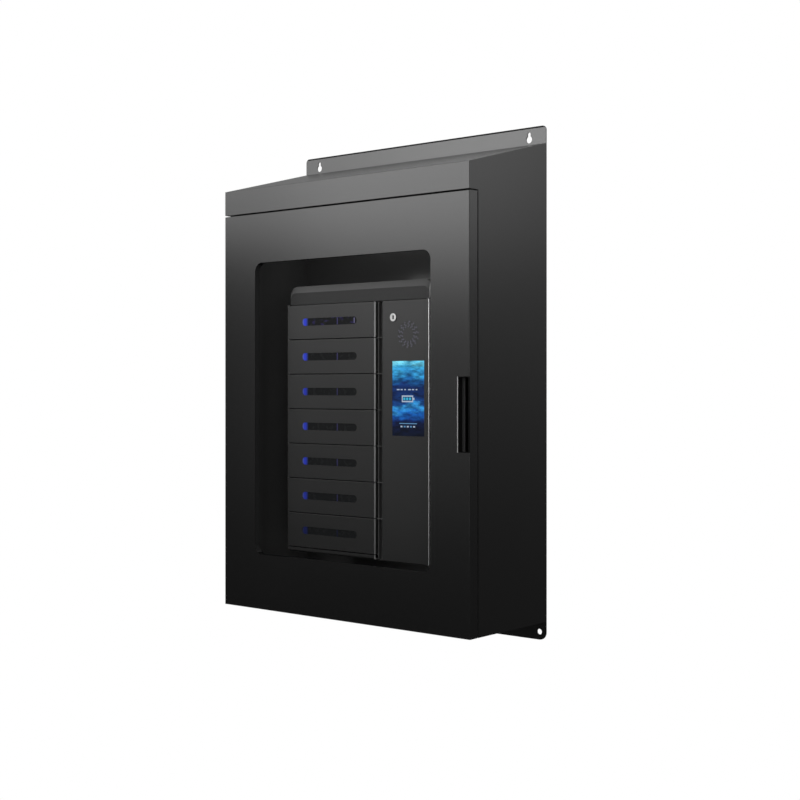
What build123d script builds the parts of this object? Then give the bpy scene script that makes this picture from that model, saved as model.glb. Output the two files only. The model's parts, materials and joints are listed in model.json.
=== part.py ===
from build123d import *
from math import atan, cos
import os

os.makedirs("parts", exist_ok=True)

# Wall cabinet with a column of phone charging lockers behind a framed front door.
# Sizes are in millimetres. The origin is the centre of the back plate's wall face,
# +X runs to the right, +Z runs up and the front faces -Y.
# A "depth" is a distance out from the wall, so it stands at Y = -depth.

# ---- Cabinet shell ----
cabinet_width = 678.2
cabinet_depth = 264.7
plate_thickness = 3.0
sheet = 2.0
fold_radius = 1.2
bottom_flange = 38.3
top_flange = 36.9
front_height = 915.3
roof_rise = 68.7
header_height = 52.6
top_corner_radius = 9.0
bottom_corner_radius = 16.0

# ---- Wall fixings ----
keyhole_inset = 42.0
keyhole_drop = 25.4
keyhole_radius = 7.5
keyhole_neck = 8.0
keyhole_rise = 11.2
lower_hole_inset = 16.0
lower_hole_height = 16.5
lower_hole_radius = 6.0

# ---- Front door ----
door_depth = 25.4
door_gap = 3.0
door_fold_radius = 1.5
door_flange = 14.0
window_width = 488.4
window_height = 633.6
window_sill = 118.8
window_radius = 20.0
window_lip = 12.0
frame_width = 40.0
frame_lip = 12.0

# ---- Front door hinges ----
hinge_inset = 120.0
hinge_axis_inset = 6.5
hinge_axis_depth = 12.7
hinge_pin_radius = 2.5
barrel_radius = 4.0
barrel_height = 24.0
knuckle_height = 12.0
knuckle_gap = 0.5
hinge_arm = 3.0
hinge_reach = 18.0
hinge_foot = 18.0
leaf_sheet = 2.0
leaf_foot = 30.0

# ---- Pull handle ----
pull_width = 30.5
pull_height = 146.3
pull_depth = 22.6
pull_wall = 1.5
pull_lip = 1.2
grip_width = 4.0
grip_depth = 11.6
grip_ledge = 7.4
grip_sheet = 2.0
grip_edge = 0.8

# ---- Catches and bumpers ----
magnet_width = 10.0
magnet_height = 40.0
magnet_length = 14.0
magnet_rim = 6.0
magnet_rim_thickness = 2.0
magnet_spacing = 240.0
bumper_radius = 5.0
bumper_inset = 60.0
contact_gap = 0.3

# ---- Cable entry ----
entry_radius = 14.0
entry_bore = 9.0
entry_lip = 3.0
entry_lip_thickness = 2.5
entry_from_side = 90.0
entry_depth = 45.0

# ---- Locker unit ----
locker_width = 397.0
locker_setback = 52.8
locker_lift = 125.5
case_sheet = 1.5
shadow_gap = 4.9
rail_depth = 19.0
rail_width = 40.0
rail_inset = 78.5
rail_height = 460.0
cap_height = 40.0
cap_overhang = 3.9
cap_corner_radius = 21.0
cap_side_bevel = 5.9
cap_top_bevel = 14.5
cap_bevel_depth = 5.9
cap_face_radius = 14.0
cap_wall = 2.0

# ---- Charging bays ----
bay_count = 7
bay_pitch = 75.0
base_height = 9.7
base_round = 3.5
base_corner_radius = 5.0
leaf_gap = 1.6
leaf_thickness = 5.0
leaf_round = 0.8
leaf_hinge_round = 3.5
return_sheet = 1.5
return_depth = 12.0
return_inset = 2.0
shelf_thickness = 1.0
slot_height = 16.0
slot_from_left = 45.8
slot_from_right = 48.0
glazing_recess = 1.2
glazing_flange = 2.5
glazing_border = 6.0
light_length = 16.0
light_depth = 1.4

# ---- Pivots of the bay doors and the service door ----
pivot_inset = 3.0
pivot_radius = 1.4
pivot_play = 0.06
pivot_engagement = 3.6
pivot_hole_depth = 5.0
ear_width = 7.5
ear_setback = 0.5

# ---- Latches ----
strike_thickness = 3.0
strike_height = 16.0
strike_length = 28.9
strike_inset = 0.6
strike_clearance = 0.6
bolt_radius = 2.5
bolt_length = 19.0
bolt_play = 0.05
bolt_from_strike_end = 6.0
bolt_recess = 0.5
latch_height = 36.0
latch_depth = 30.0
latch_width = 17.0

# ---- Channel between the bay doors and the service door ----
channel_width = 22.8
web_thickness = 2.5
web_offset = 2.4
channel_recess = 8.0
channel_floor_width = 20.0
jamb_width = 12.5
jamb_setback = 2.0

# ---- Service door ----
service_width = 122.6
screen_width = 82.8
screen_height = 152.5
screen_from_left = 68.4
screen_from_top = 123.7
glass_thickness = 3.0
glass_play = 0.3
module_border = 4.6
module_depth = 14.0
speaker_from_top = 69.9
speaker_radius = 29.0
speaker_depth = 20.0
sound_ring_radii = (15.5, 19.0, 22.5, 26.0)
sound_holes_per_ring = 28
sound_hole_radius = 0.9

# ---- Cam lock ----
lock_from_left = 30.0
lock_from_top = 34.1
lock_head_radius = 9.0
lock_head_height = 2.0
lock_body_radius = 7.5
lock_body_length = 15.9
lock_play = 0.1
plug_radius = 5.0
plug_play = 0.05
plug_recess = 0.4
spigot_radius = 3.0
key_slot = (1.4, 7.0, 4.0)
nut_size = 20.0
nut_thickness = 3.5
cam_length = 22.0
cam_width = 9.0
cam_thickness = 2.0
cam_play = 0.2

# ---- Electrics inside the locker ----
port_size = (60.0, 18.0, 24.0)
port_from_left = 128.0
lead_gland_radius = 5.0
lead_gland_length = 6.0
board_size = (90.0, 1.6, 150.0)
board_standoff = 8.0
board_drop = 40.0
standoff_radius = 3.0
supply_size = (90.0, 38.0, 150.0)
supply_lift = 60.0
inlet_size = (48.0, 27.0, 24.0)
inlet_flange = 5.0
inlet_flange_thickness = 3.0
inlet_hollow = (38.0, 18.0, 18.0)
inlet_pin = (2.0, 4.0, 9.0)
inlet_pin_spacing = 11.0
inlet_depth = 90.0
screw_radius = 2.0
screw_head_radius = 4.0
screw_head_height = 2.6
screw_length = 12.0
screw_play = 0.2

# ---- Places worked out from the sizes above ----
half_width = cabinet_width / 2
plate_height = bottom_flange + front_height + roof_rise + top_flange
plate_bottom = -plate_height / 2
plate_top = plate_height / 2
cabinet_bottom = plate_bottom + bottom_flange
header_top = cabinet_bottom + front_height
roof_back = header_top + roof_rise
header_bottom = header_top - header_height
inner_half = half_width - sheet

door_bottom = cabinet_bottom
door_top = header_bottom - door_gap
door_middle = (door_bottom + door_top) / 2
door_back = cabinet_depth - door_depth
frame_front = door_back - door_gap
window_bottom = door_bottom + window_sill
window_middle = window_bottom + window_height / 2

hinge_x = -half_width + hinge_axis_inset
hinge_depth = door_back + hinge_axis_depth
hinge_levels = (door_bottom + hinge_inset, door_top - hinge_inset)
hinge_bore = hinge_pin_radius + pivot_play

pull_left = half_width - pull_width
pull_right = inner_half
pull_bottom = door_middle - pull_height / 2
pull_top = door_middle + pull_height / 2

half_locker = locker_width / 2
rail_spacing = locker_width - 2 * rail_inset
leaf_width = locker_width - channel_width - service_width
slot_length = leaf_width - slot_from_left - slot_from_right
face_depth = cabinet_depth - locker_setback
leaf_back = face_depth - leaf_thickness
case_front = leaf_back - shadow_gap
case_back = plate_thickness + rail_depth
back_front = case_back + case_sheet
service_bottom = cabinet_bottom + locker_lift
column_bottom = service_bottom + base_height
column_top = column_bottom + bay_count * bay_pitch
leaf_clearance = (leaf_gap - shelf_thickness) / 2
leaf_height = bay_pitch - leaf_gap
case_floor = service_bottom - leaf_clearance
case_bottom = case_floor - case_sheet
case_ceiling = column_top - leaf_gap / 2 + leaf_clearance
case_top = case_ceiling + case_sheet
service_top = column_top - leaf_gap / 2
inner_locker = half_locker - case_sheet
cap_front = case_front + cap_overhang
cap_shoulder = cap_front - cap_bevel_depth
cap_face_width = locker_width - 2 * cap_side_bevel
cap_face_height = cap_height - cap_top_bevel
cap_face_corner = min(cap_face_radius, 0.9 * cap_face_height)

leaf_left = -half_locker
leaf_right = leaf_left + leaf_width
service_left = leaf_right + channel_width
service_right = half_locker
web_left = leaf_right + web_offset
web_right = web_left + web_thickness
far_web_left = web_right + channel_floor_width
far_web_right = far_web_left + case_sheet
channel_floor = case_front - channel_recess
jamb_front = case_front - jamb_setback

pivot_depth = face_depth - leaf_thickness / 2
bay_pivot_x = leaf_left + pivot_inset
service_pivot_x = service_right - pivot_inset
ear_front = face_depth - ear_setback
pivot_bore = pivot_radius + pivot_play

slot_x = leaf_left + slot_from_left + slot_length / 2
strike_right = leaf_right - strike_inset
strike_end = leaf_back - strike_length
bolt_depth = strike_end + bolt_from_strike_end
bolt_tip = web_left + bolt_recess

screen_x = service_left + screen_from_left
screen_z = service_top - screen_from_top - screen_height / 2
speaker_z = service_top - speaker_from_top
lock_x = service_left + lock_from_left
lock_z = service_top - lock_from_top
lock_back = face_depth - lock_body_length
cam_front = lock_back - cam_play
compartment_x = (far_web_right + inner_locker) / 2
entry_x = half_width - entry_from_side


def bay_middle(number):
    """Height of the middle of a bay door; number 1 is the top one."""
    return column_top - (number - 0.5) * bay_pitch


def boundary(level):
    """Height of the line between two bay doors; level 0 is under the lowest one."""
    return column_bottom + level * bay_pitch


def block(x_span, depth_span, z_span, mode=Mode.ADD):
    """Add or cut a rectangular block that lies between two places each way."""
    middle = [(span[0] + span[1]) / 2 for span in (x_span, depth_span, z_span)]
    length = [abs(span[1] - span[0]) for span in (x_span, depth_span, z_span)]
    with Locations((middle[0], -middle[1], middle[2])):
        Box(*length, mode=mode)


def rod_out(x, depth_span, z, radius, mode=Mode.ADD):
    """Add or cut a round bar that points straight out from the wall."""
    with Locations((x, -(depth_span[0] + depth_span[1]) / 2, z)):
        Cylinder(radius, abs(depth_span[1] - depth_span[0]), rotation=(90, 0, 0), mode=mode)


def rod_up(x, depth, z_span, radius, mode=Mode.ADD):
    """Add or cut an upright round bar."""
    with Locations((x, -depth, (z_span[0] + z_span[1]) / 2)):
        Cylinder(radius, abs(z_span[1] - z_span[0]), mode=mode)


def rod_across(x_span, depth, z, radius, mode=Mode.ADD):
    """Add or cut a round bar that runs from left to right."""
    with Locations(((x_span[0] + x_span[1]) / 2, -depth, z)):
        Cylinder(radius, abs(x_span[1] - x_span[0]), rotation=(0, 90, 0), mode=mode)


# ==== Cabinet shell ====

with BuildPart() as back_plate:
    with BuildSketch(Plane.XZ) as plate_outline:
        Rectangle(cabinet_width, plate_height)
        fillet(plate_outline.vertices().group_by(Axis.Y)[-1], top_corner_radius)
        fillet(plate_outline.vertices().group_by(Axis.Y)[0], bottom_corner_radius)
        for side in (-1, 1):
            keyhole_x = side * (half_width - keyhole_inset)
            keyhole_z = plate_top - keyhole_drop
            with Locations((keyhole_x, keyhole_z)):
                Circle(keyhole_radius, mode=Mode.SUBTRACT)
            with Locations((keyhole_x, keyhole_z + keyhole_rise / 2)):
                SlotCenterToCenter(keyhole_rise, keyhole_neck, rotation=90, mode=Mode.SUBTRACT)
            with Locations((side * (half_width - lower_hole_inset), plate_bottom + lower_hole_height)):
                Circle(lower_hole_radius, mode=Mode.SUBTRACT)
    extrude(amount=plate_thickness)
back_plate.part.label = "back_plate"
export_step(back_plate.part, "parts/back_plate.step")


def side_profile():
    """Corners of a side panel, as (Y, Z): full depth beside the header, set back beside the door."""
    return [
        (-plate_thickness, cabinet_bottom),
        (-frame_front, cabinet_bottom),
        (-frame_front, header_bottom),
        (-cabinet_depth, header_bottom),
        (-cabinet_depth, header_top),
        (-plate_thickness, roof_back),
    ]


with BuildPart() as left_side_panel:
    with BuildSketch(Plane.YZ.offset(-half_width)):
        with BuildLine():
            Polyline(*side_profile(), close=True)
        make_face()
    extrude(amount=sheet)
    outer_edges = left_side_panel.faces().sort_by(Axis.X)[0].edges()
    header_edge = outer_edges.filter_by(Axis.Z).sort_by(Axis.Y)[0]
    roof_edge = outer_edges.sort_by(Axis.Z)[-1]
    fillet([header_edge, roof_edge], fold_radius)
left_side_panel.part.label = "left_side_panel"
export_step(left_side_panel.part, "parts/left_side_panel.step")

with BuildPart() as right_side_panel:
    with BuildSketch(Plane.YZ.offset(inner_half)):
        with BuildLine():
            Polyline(*side_profile(), close=True)
        make_face()
    extrude(amount=sheet)
    outer_edges = right_side_panel.faces().sort_by(Axis.X)[-1].edges()
    header_edge = outer_edges.filter_by(Axis.Z).sort_by(Axis.Y)[0]
    roof_edge = outer_edges.sort_by(Axis.Z)[-1]
    fillet([header_edge, roof_edge], fold_radius)
right_side_panel.part.label = "right_side_panel"
export_step(right_side_panel.part, "parts/right_side_panel.step")

# The roof and the header are one folded sheet between the side panels, with a lip back to the frame.
roof_slope = roof_rise / (cabinet_depth - plate_thickness)
roof_drop = sheet / cos(atan(roof_slope))
with BuildPart() as top_hood:
    with BuildSketch(Plane.YZ.offset(-inner_half)):
        with BuildLine():
            Polyline(
                (-plate_thickness, roof_back),
                (-cabinet_depth, header_top),
                (-cabinet_depth, header_bottom),
                (-frame_front, header_bottom),
                (-frame_front, header_bottom + sheet),
                (-cabinet_depth + sheet, header_bottom + sheet),
                (-cabinet_depth + sheet, header_top + sheet * roof_slope - roof_drop),
                (-plate_thickness, roof_back - roof_drop),
                close=True,
            )
        make_face()
    extrude(amount=2 * inner_half)
    fillet(top_hood.edges().filter_by(Axis.X).group_by(Axis.Y)[0].sort_by(Axis.Z)[-1], fold_radius)
top_hood.part.label = "top_hood"
export_step(top_hood.part, "parts/top_hood.step")

with BuildPart() as bottom_panel:
    floor_span = (cabinet_bottom, cabinet_bottom + sheet)
    block((-inner_half, inner_half), (plate_thickness, frame_front), floor_span)
    rod_up(entry_x, entry_depth, floor_span, entry_radius, mode=Mode.SUBTRACT)
bottom_panel.part.label = "bottom_panel"
export_step(bottom_panel.part, "parts/bottom_panel.step")

# Rubber grommet for the supply lead: a groove holds it in the bottom panel.
with BuildPart() as cable_grommet:
    entry_top = cabinet_bottom + sheet + entry_lip_thickness
    entry_base = cabinet_bottom - entry_lip_thickness
    rod_up(entry_x, entry_depth, (entry_base, cabinet_bottom), entry_radius + entry_lip)
    rod_up(entry_x, entry_depth, (cabinet_bottom, cabinet_bottom + sheet), entry_radius)
    rod_up(entry_x, entry_depth, (cabinet_bottom + sheet, entry_top), entry_radius + entry_lip)
    rod_up(entry_x, entry_depth, (entry_base, entry_top), entry_bore, mode=Mode.SUBTRACT)
cable_grommet.part.label = "cable_grommet"
export_step(cable_grommet.part, "parts/cable_grommet.step")

# ==== Door frame, catches and bumpers ====

catch_x = inner_half - door_flange / 2
magnet_levels = (door_middle - magnet_spacing / 2, door_middle + magnet_spacing / 2)

with BuildPart() as door_frame:
    frame_bottom = cabinet_bottom + sheet
    frame_middle = (frame_bottom + header_bottom) / 2
    frame_height = header_bottom - frame_bottom
    opening_width = 2 * inner_half - 2 * frame_width
    opening_height = frame_height - 2 * frame_width
    with BuildSketch(Plane.XZ.offset(frame_front - sheet)):
        with Locations((0, frame_middle)):
            Rectangle(2 * inner_half, frame_height)
            Rectangle(opening_width, opening_height, mode=Mode.SUBTRACT)
        cutout_width = magnet_width + 2 * contact_gap
        cutout_height = magnet_height + 2 * contact_gap
        for level in magnet_levels:
            with Locations((catch_x, level)):
                Rectangle(cutout_width, cutout_height, mode=Mode.SUBTRACT)
    extrude(amount=sheet)
    with BuildSketch(Plane.XZ.offset(frame_front - sheet - frame_lip)):
        with Locations((0, frame_middle)):
            Rectangle(opening_width + 2 * sheet, opening_height + 2 * sheet)
            Rectangle(opening_width, opening_height, mode=Mode.SUBTRACT)
    extrude(amount=frame_lip)
door_frame.part.label = "door_frame"
export_step(door_frame.part, "parts/door_frame.step")

with BuildPart() as catch_magnets:
    for level in magnet_levels:
        magnet_z = (level - magnet_height / 2, level + magnet_height / 2)
        rim_z = (magnet_z[0] - magnet_rim, magnet_z[1] + magnet_rim)
        magnet_x = (catch_x - magnet_width / 2, catch_x + magnet_width / 2)
        magnet_front = door_back - contact_gap
        rim_front = frame_front - sheet
        block(magnet_x, (magnet_front - magnet_length, magnet_front), magnet_z)
        block(magnet_x, (rim_front - magnet_rim_thickness, rim_front), rim_z)
catch_magnets.part.label = "catch_magnets"
export_step(catch_magnets.part, "parts/catch_magnets.step")

with BuildPart() as door_bumpers:
    bumper_top = header_bottom - door_gap - door_flange / 2
    bumper_bottom = cabinet_bottom + door_flange
    for bumper_x, bumper_z in (
        (catch_x, door_top - bumper_inset),
        (catch_x, door_bottom + bumper_inset),
        (0, bumper_top),
        (0, bumper_bottom),
    ):
        rod_out(bumper_x, (frame_front, door_back - contact_gap), bumper_z, bumper_radius)
door_bumpers.part.label = "door_bumpers"
export_step(door_bumpers.part, "parts/door_bumpers.step")

# ==== Front door hinges ====

with BuildPart() as front_hinge_brackets:
    for level in hinge_levels:
        with BuildSketch(Plane.XY.offset(level - barrel_height / 2)):
            riser_x = hinge_x + hinge_reach
            foot_front = frame_front + hinge_arm
            with Locations((hinge_x, -hinge_depth)):
                Circle(barrel_radius)
            with Locations(((hinge_x + riser_x) / 2, -hinge_depth)):
                Rectangle(hinge_reach, hinge_arm)
            with Locations((riser_x, -(hinge_depth + hinge_arm / 2 + frame_front) / 2)):
                Rectangle(hinge_arm, hinge_depth + hinge_arm / 2 - frame_front)
            with Locations((riser_x + hinge_foot / 2, -(frame_front + foot_front) / 2)):
                Rectangle(hinge_foot, hinge_arm)
            with Locations((hinge_x, -hinge_depth)):
                Circle(hinge_bore, mode=Mode.SUBTRACT)
        extrude(amount=barrel_height)
front_hinge_brackets.part.label = "front_hinge_brackets"
export_step(front_hinge_brackets.part, "parts/front_hinge_brackets.step")

hinge_half = barrel_height / 2 + knuckle_gap + knuckle_height

with BuildPart() as front_hinge_pins:
    for level in hinge_levels:
        rod_up(hinge_x, hinge_depth, (level - hinge_half, level + hinge_half), hinge_pin_radius)
front_hinge_pins.part.label = "front_hinge_pins"
export_step(front_hinge_pins.part, "parts/front_hinge_pins.step")

with BuildPart() as front_hinge_leaves:
    for level in hinge_levels:
        leaf_seat = cabinet_depth - sheet
        foot_span = (hinge_x - leaf_sheet / 2, hinge_x + leaf_foot)
        neck_span = (hinge_x - leaf_sheet / 2, hinge_x + leaf_sheet / 2)
        block(foot_span, (leaf_seat - leaf_sheet, leaf_seat), (level - hinge_half, level + hinge_half))
        for knuckle_z in (level - hinge_half, level + hinge_half - knuckle_height):
            knuckle_span = (knuckle_z, knuckle_z + knuckle_height)
            block(neck_span, (hinge_depth, leaf_seat), knuckle_span)
            rod_up(hinge_x, hinge_depth, knuckle_span, barrel_radius)
            rod_up(hinge_x, hinge_depth, knuckle_span, hinge_bore, mode=Mode.SUBTRACT)
front_hinge_leaves.part.label = "front_hinge_leaves"
export_step(front_hinge_leaves.part, "parts/front_hinge_leaves.step")

# ==== Front door ====

lip_span = (cabinet_depth - pull_lip, cabinet_depth)
with BuildPart() as front_door:
    block((-half_width, half_width), (door_back, cabinet_depth), (door_bottom, door_top))
    front_edges = front_door.faces().sort_by(Axis.Y)[0].edges()
    fillet(front_edges, door_fold_radius)
    block(
        (-inner_half, inner_half),
        (door_back, cabinet_depth - sheet),
        (door_bottom + sheet, door_top - sheet),
        mode=Mode.SUBTRACT,
    )
    # Stiffening flanges fold inwards along the top, the bottom and the closing side.
    flange_left = hinge_x + barrel_radius
    flange_span = (door_back, door_back + sheet)
    block((flange_left, inner_half), flange_span, (door_bottom + sheet, door_bottom + door_flange))
    block((flange_left, inner_half), flange_span, (door_top - door_flange, door_top - sheet))
    block((inner_half - door_flange, inner_half), flange_span, (door_bottom + sheet, door_top - sheet))
    # Window with a folded lip all round.
    with BuildSketch(Plane.XZ.offset(cabinet_depth - sheet - window_lip)):
        with Locations((0, window_middle)):
            RectangleRounded(window_width + 2 * sheet, window_height + 2 * sheet, window_radius + sheet)
    extrude(amount=sheet + window_lip)
    with BuildSketch(Plane.XZ.offset(cabinet_depth - sheet - window_lip)):
        with Locations((0, window_middle)):
            RectangleRounded(window_width, window_height, window_radius)
    extrude(amount=sheet + window_lip, mode=Mode.SUBTRACT)
    # Opening for the pull, with a shallow step in the side wall for the pocket's lip.
    block(
        (pull_left, pull_right),
        (cabinet_depth - sheet, cabinet_depth),
        (pull_bottom, pull_top),
        mode=Mode.SUBTRACT,
    )
    block((pull_right, half_width), lip_span, (pull_bottom, pull_top), mode=Mode.SUBTRACT)
front_door.part.label = "front_door"
export_step(front_door.part, "parts/front_door.step")

# The pocket fills the opening and its floor hangs just in front of the door's rear flange.
pull_back = cabinet_depth - pull_depth
with BuildPart() as pull_pocket:
    block((pull_left, pull_right), (pull_back, cabinet_depth - grip_edge), (pull_bottom, pull_top))
    block(
        (pull_left + pull_wall, pull_right - pull_wall),
        (pull_back + pull_wall, cabinet_depth),
        (pull_bottom + pull_wall, pull_top - pull_wall),
        mode=Mode.SUBTRACT,
    )
    block((pull_right, half_width), lip_span, (pull_bottom, pull_top))
    lip_edge = pull_pocket.faces().sort_by(Axis.X)[-1].edges().sort_by(Axis.Y)[0]
    fillet(lip_edge, pull_lip * 0.8)
pull_pocket.part.label = "pull_pocket"
export_step(pull_pocket.part, "parts/pull_pocket.step")

# The grip is a bent strip: a bright front edge, a wall and a ledge that fingers curl behind.
with BuildPart() as pull_grip:
    grip_left = pull_left + pull_wall
    grip_right = grip_left + grip_width - pull_wall
    grip_span = (pull_bottom + pull_wall, pull_top - pull_wall)
    ledge_front = cabinet_depth - grip_depth
    edge_back = cabinet_depth - grip_edge
    block((grip_left, grip_right), (ledge_front - grip_sheet, edge_back), grip_span)
    block((grip_right, grip_right + grip_ledge), (ledge_front - grip_sheet, ledge_front), grip_span)
    block((pull_left, grip_right), (edge_back, cabinet_depth), (pull_bottom, pull_top))
pull_grip.part.label = "pull_grip"
export_step(pull_grip.part, "parts/pull_grip.step")

# ==== Locker unit: fixed parts ====

screw_xs = (-rail_spacing / 2, rail_spacing / 2)
screw_zs = [bay_middle(number) for number in range(1, bay_count + 1, 2)]
screw_hole = screw_radius + screw_play

with BuildPart() as locker_rails:
    rail_middle = (case_floor + case_ceiling) / 2
    rail_z = (rail_middle - rail_height / 2, rail_middle + rail_height / 2)
    for rail_x in screw_xs:
        rail_span = (rail_x - rail_width / 2, rail_x + rail_width / 2)
        block(rail_span, (plate_thickness, case_back), rail_z)
        block(
            (rail_span[0] + case_sheet, rail_span[1] - case_sheet),
            (plate_thickness, case_back - case_sheet),
            rail_z,
            mode=Mode.SUBTRACT,
        )
        for screw_z in screw_zs:
            rod_out(rail_x, (plate_thickness, case_back), screw_z, screw_hole, mode=Mode.SUBTRACT)
locker_rails.part.label = "locker_rails"
export_step(locker_rails.part, "parts/locker_rails.step")

with BuildPart() as locker_back:
    block((-inner_locker, inner_locker), (case_back, back_front), (case_floor, case_ceiling))
    for screw_x in screw_xs:
        for screw_z in screw_zs:
            rod_out(screw_x, (case_back, back_front), screw_z, screw_hole, mode=Mode.SUBTRACT)
locker_back.part.label = "locker_back"
export_step(locker_back.part, "parts/locker_back.step")

with BuildPart() as locker_screws:
    for screw_x in screw_xs:
        for screw_z in screw_zs:
            rod_out(screw_x, (back_front, back_front + screw_head_height), screw_z, screw_head_radius)
            rod_out(screw_x, (back_front - screw_length, back_front), screw_z, screw_radius)
locker_screws.part.label = "locker_screws"
export_step(locker_screws.part, "parts/locker_screws.step")

# The case is a folded sleeve; small ears on its floor and ceiling carry the door pivots.
service_ear = (service_pivot_x + pivot_inset - ear_width, service_pivot_x + pivot_inset)
bay_ear = (bay_pivot_x - pivot_inset, bay_pivot_x - pivot_inset + ear_width)
inlet_x = compartment_x
with BuildPart() as locker_case:
    block((-half_locker, half_locker), (case_back, case_front), (case_bottom, case_top))
    block(
        (-inner_locker, inner_locker),
        (case_back, case_front),
        (case_floor, case_ceiling),
        mode=Mode.SUBTRACT,
    )
    block(service_ear, (case_front, ear_front), (case_bottom, case_floor))
    block(service_ear, (case_front, ear_front), (case_ceiling, case_top))
    block(bay_ear, (case_front, ear_front), (case_ceiling, case_top))
    rod_up(service_pivot_x, pivot_depth, (case_bottom, case_floor), pivot_bore, mode=Mode.SUBTRACT)
    rod_up(service_pivot_x, pivot_depth, (case_ceiling, case_top), pivot_bore, mode=Mode.SUBTRACT)
    rod_up(bay_pivot_x, pivot_depth, (case_ceiling, case_top), pivot_bore, mode=Mode.SUBTRACT)
    block(
        (inlet_x - inlet_size[0] / 2, inlet_x + inlet_size[0] / 2),
        (inlet_depth - inlet_size[1] / 2, inlet_depth + inlet_size[1] / 2),
        (case_bottom, case_floor),
        mode=Mode.SUBTRACT,
    )
locker_case.part.label = "locker_case"
export_step(locker_case.part, "parts/locker_case.step")

# The cap is a folded hood: a sloped band runs round its front face, wider along the top.
with BuildPart() as cap_hollow:
    with BuildSketch(Plane.XZ.offset(case_back + cap_wall)) as hollow_outline:
        with Locations((0, case_top)):
            Rectangle(
                locker_width - 2 * cap_wall, cap_height - cap_wall, align=(Align.CENTER, Align.MIN)
            )
        fillet(hollow_outline.vertices().group_by(Axis.Y)[-1], cap_corner_radius - cap_wall)
    extrude(amount=cap_shoulder - case_back - cap_wall)
    for depth, width, height, corner in (
        (cap_shoulder, locker_width, cap_height, cap_corner_radius),
        (cap_front - cap_wall, cap_face_width, cap_face_height, cap_face_corner),
    ):
        with BuildSketch(Plane.XZ.offset(depth)) as hollow_section:
            with Locations((0, case_top)):
                Rectangle(width - 2 * cap_wall, height - cap_wall, align=(Align.CENTER, Align.MIN))
            fillet(hollow_section.vertices().group_by(Axis.Y)[-1], corner - cap_wall)
    loft(ruled=True)

with BuildPart() as locker_cap:
    with BuildSketch(Plane.XZ.offset(case_back)) as cap_outline:
        with Locations((0, case_top)):
            Rectangle(locker_width, cap_height, align=(Align.CENTER, Align.MIN))
        fillet(cap_outline.vertices().group_by(Axis.Y)[-1], cap_corner_radius)
    extrude(amount=cap_shoulder - case_back)
    for depth, width, height, corner in (
        (cap_shoulder, locker_width, cap_height, cap_corner_radius),
        (cap_front, cap_face_width, cap_face_height, cap_face_corner),
    ):
        with BuildSketch(Plane.XZ.offset(depth)) as cap_section:
            with Locations((0, case_top)):
                Rectangle(width, height, align=(Align.CENTER, Align.MIN))
            fillet(cap_section.vertices().group_by(Axis.Y)[-1], corner)
    loft(ruled=True)
    add(cap_hollow.part, mode=Mode.SUBTRACT)
locker_cap.part.label = "locker_cap"
export_step(locker_cap.part, "parts/locker_cap.step")

# Plinth strip under the lowest bay door, with a flange back to the case.
with BuildPart() as locker_base:
    strip_top = column_bottom - leaf_gap / 2
    block((leaf_left, leaf_right), (leaf_back, face_depth), (service_bottom, strip_top))
    fillet(locker_base.edges().filter_by(Axis.Y).group_by(Axis.Z)[0].sort_by(Axis.X)[0], base_corner_radius)
    fillet(locker_base.edges().filter_by(Axis.X).group_by(Axis.Z)[0].sort_by(Axis.Y)[0], base_round)
    flange_rise = (service_bottom, service_bottom + case_sheet)
    block((leaf_left + base_corner_radius, web_right), (case_front, leaf_back), flange_rise)
locker_base.part.label = "locker_base"
export_step(locker_base.part, "parts/locker_base.step")

with BuildPart() as bay_shelves:
    for level in range(bay_count):
        shelf_z = (boundary(level) - shelf_thickness / 2, boundary(level) + shelf_thickness / 2)
        block((-inner_locker, web_left), (back_front, case_front), shelf_z)
        block(bay_ear, (case_front - case_sheet, ear_front), shelf_z)
        block((-half_locker, -inner_locker), (case_back, case_front), shelf_z, mode=Mode.SUBTRACT)
        rod_up(bay_pivot_x, pivot_depth, shelf_z, pivot_bore, mode=Mode.SUBTRACT)
bay_shelves.part.label = "bay_shelves"
export_step(bay_shelves.part, "parts/bay_shelves.step")

# Folded wall between the bays and the control compartment; its front forms the dark channel.
with BuildPart() as centre_wall:
    wall_z = (case_floor, case_ceiling)
    block((web_left, web_right), (back_front, case_front), wall_z)
    block((web_right, far_web_left), (channel_floor - case_sheet, channel_floor), wall_z)
    block((far_web_left, far_web_right), (back_front, jamb_front), wall_z)
    block((far_web_right, far_web_right + jamb_width), (jamb_front - case_sheet, jamb_front), wall_z)
    for number in range(1, bay_count + 1):
        bolt_hole = bolt_radius + contact_gap
        rod_across((web_left, web_right), bolt_depth, bay_middle(number), bolt_hole, mode=Mode.SUBTRACT)
centre_wall.part.label = "centre_wall"
export_step(centre_wall.part, "parts/centre_wall.step")

with BuildPart() as pivot_pins:
    reach = leaf_gap / 2 + pivot_engagement
    lowest_base = boundary(0) - shelf_thickness / 2
    rod_up(bay_pivot_x, pivot_depth, (lowest_base, boundary(0) + reach), pivot_radius)
    for level in range(1, bay_count):
        rod_up(bay_pivot_x, pivot_depth, (boundary(level) - reach, boundary(level) + reach), pivot_radius)
    rod_up(bay_pivot_x, pivot_depth, (service_top - pivot_engagement, case_top), pivot_radius)
    rod_up(service_pivot_x, pivot_depth, (service_top - pivot_engagement, case_top), pivot_radius)
    rod_up(service_pivot_x, pivot_depth, (case_bottom, service_bottom + pivot_engagement), pivot_radius)
pivot_pins.part.label = "pivot_pins"
export_step(pivot_pins.part, "parts/pivot_pins.step")

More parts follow.
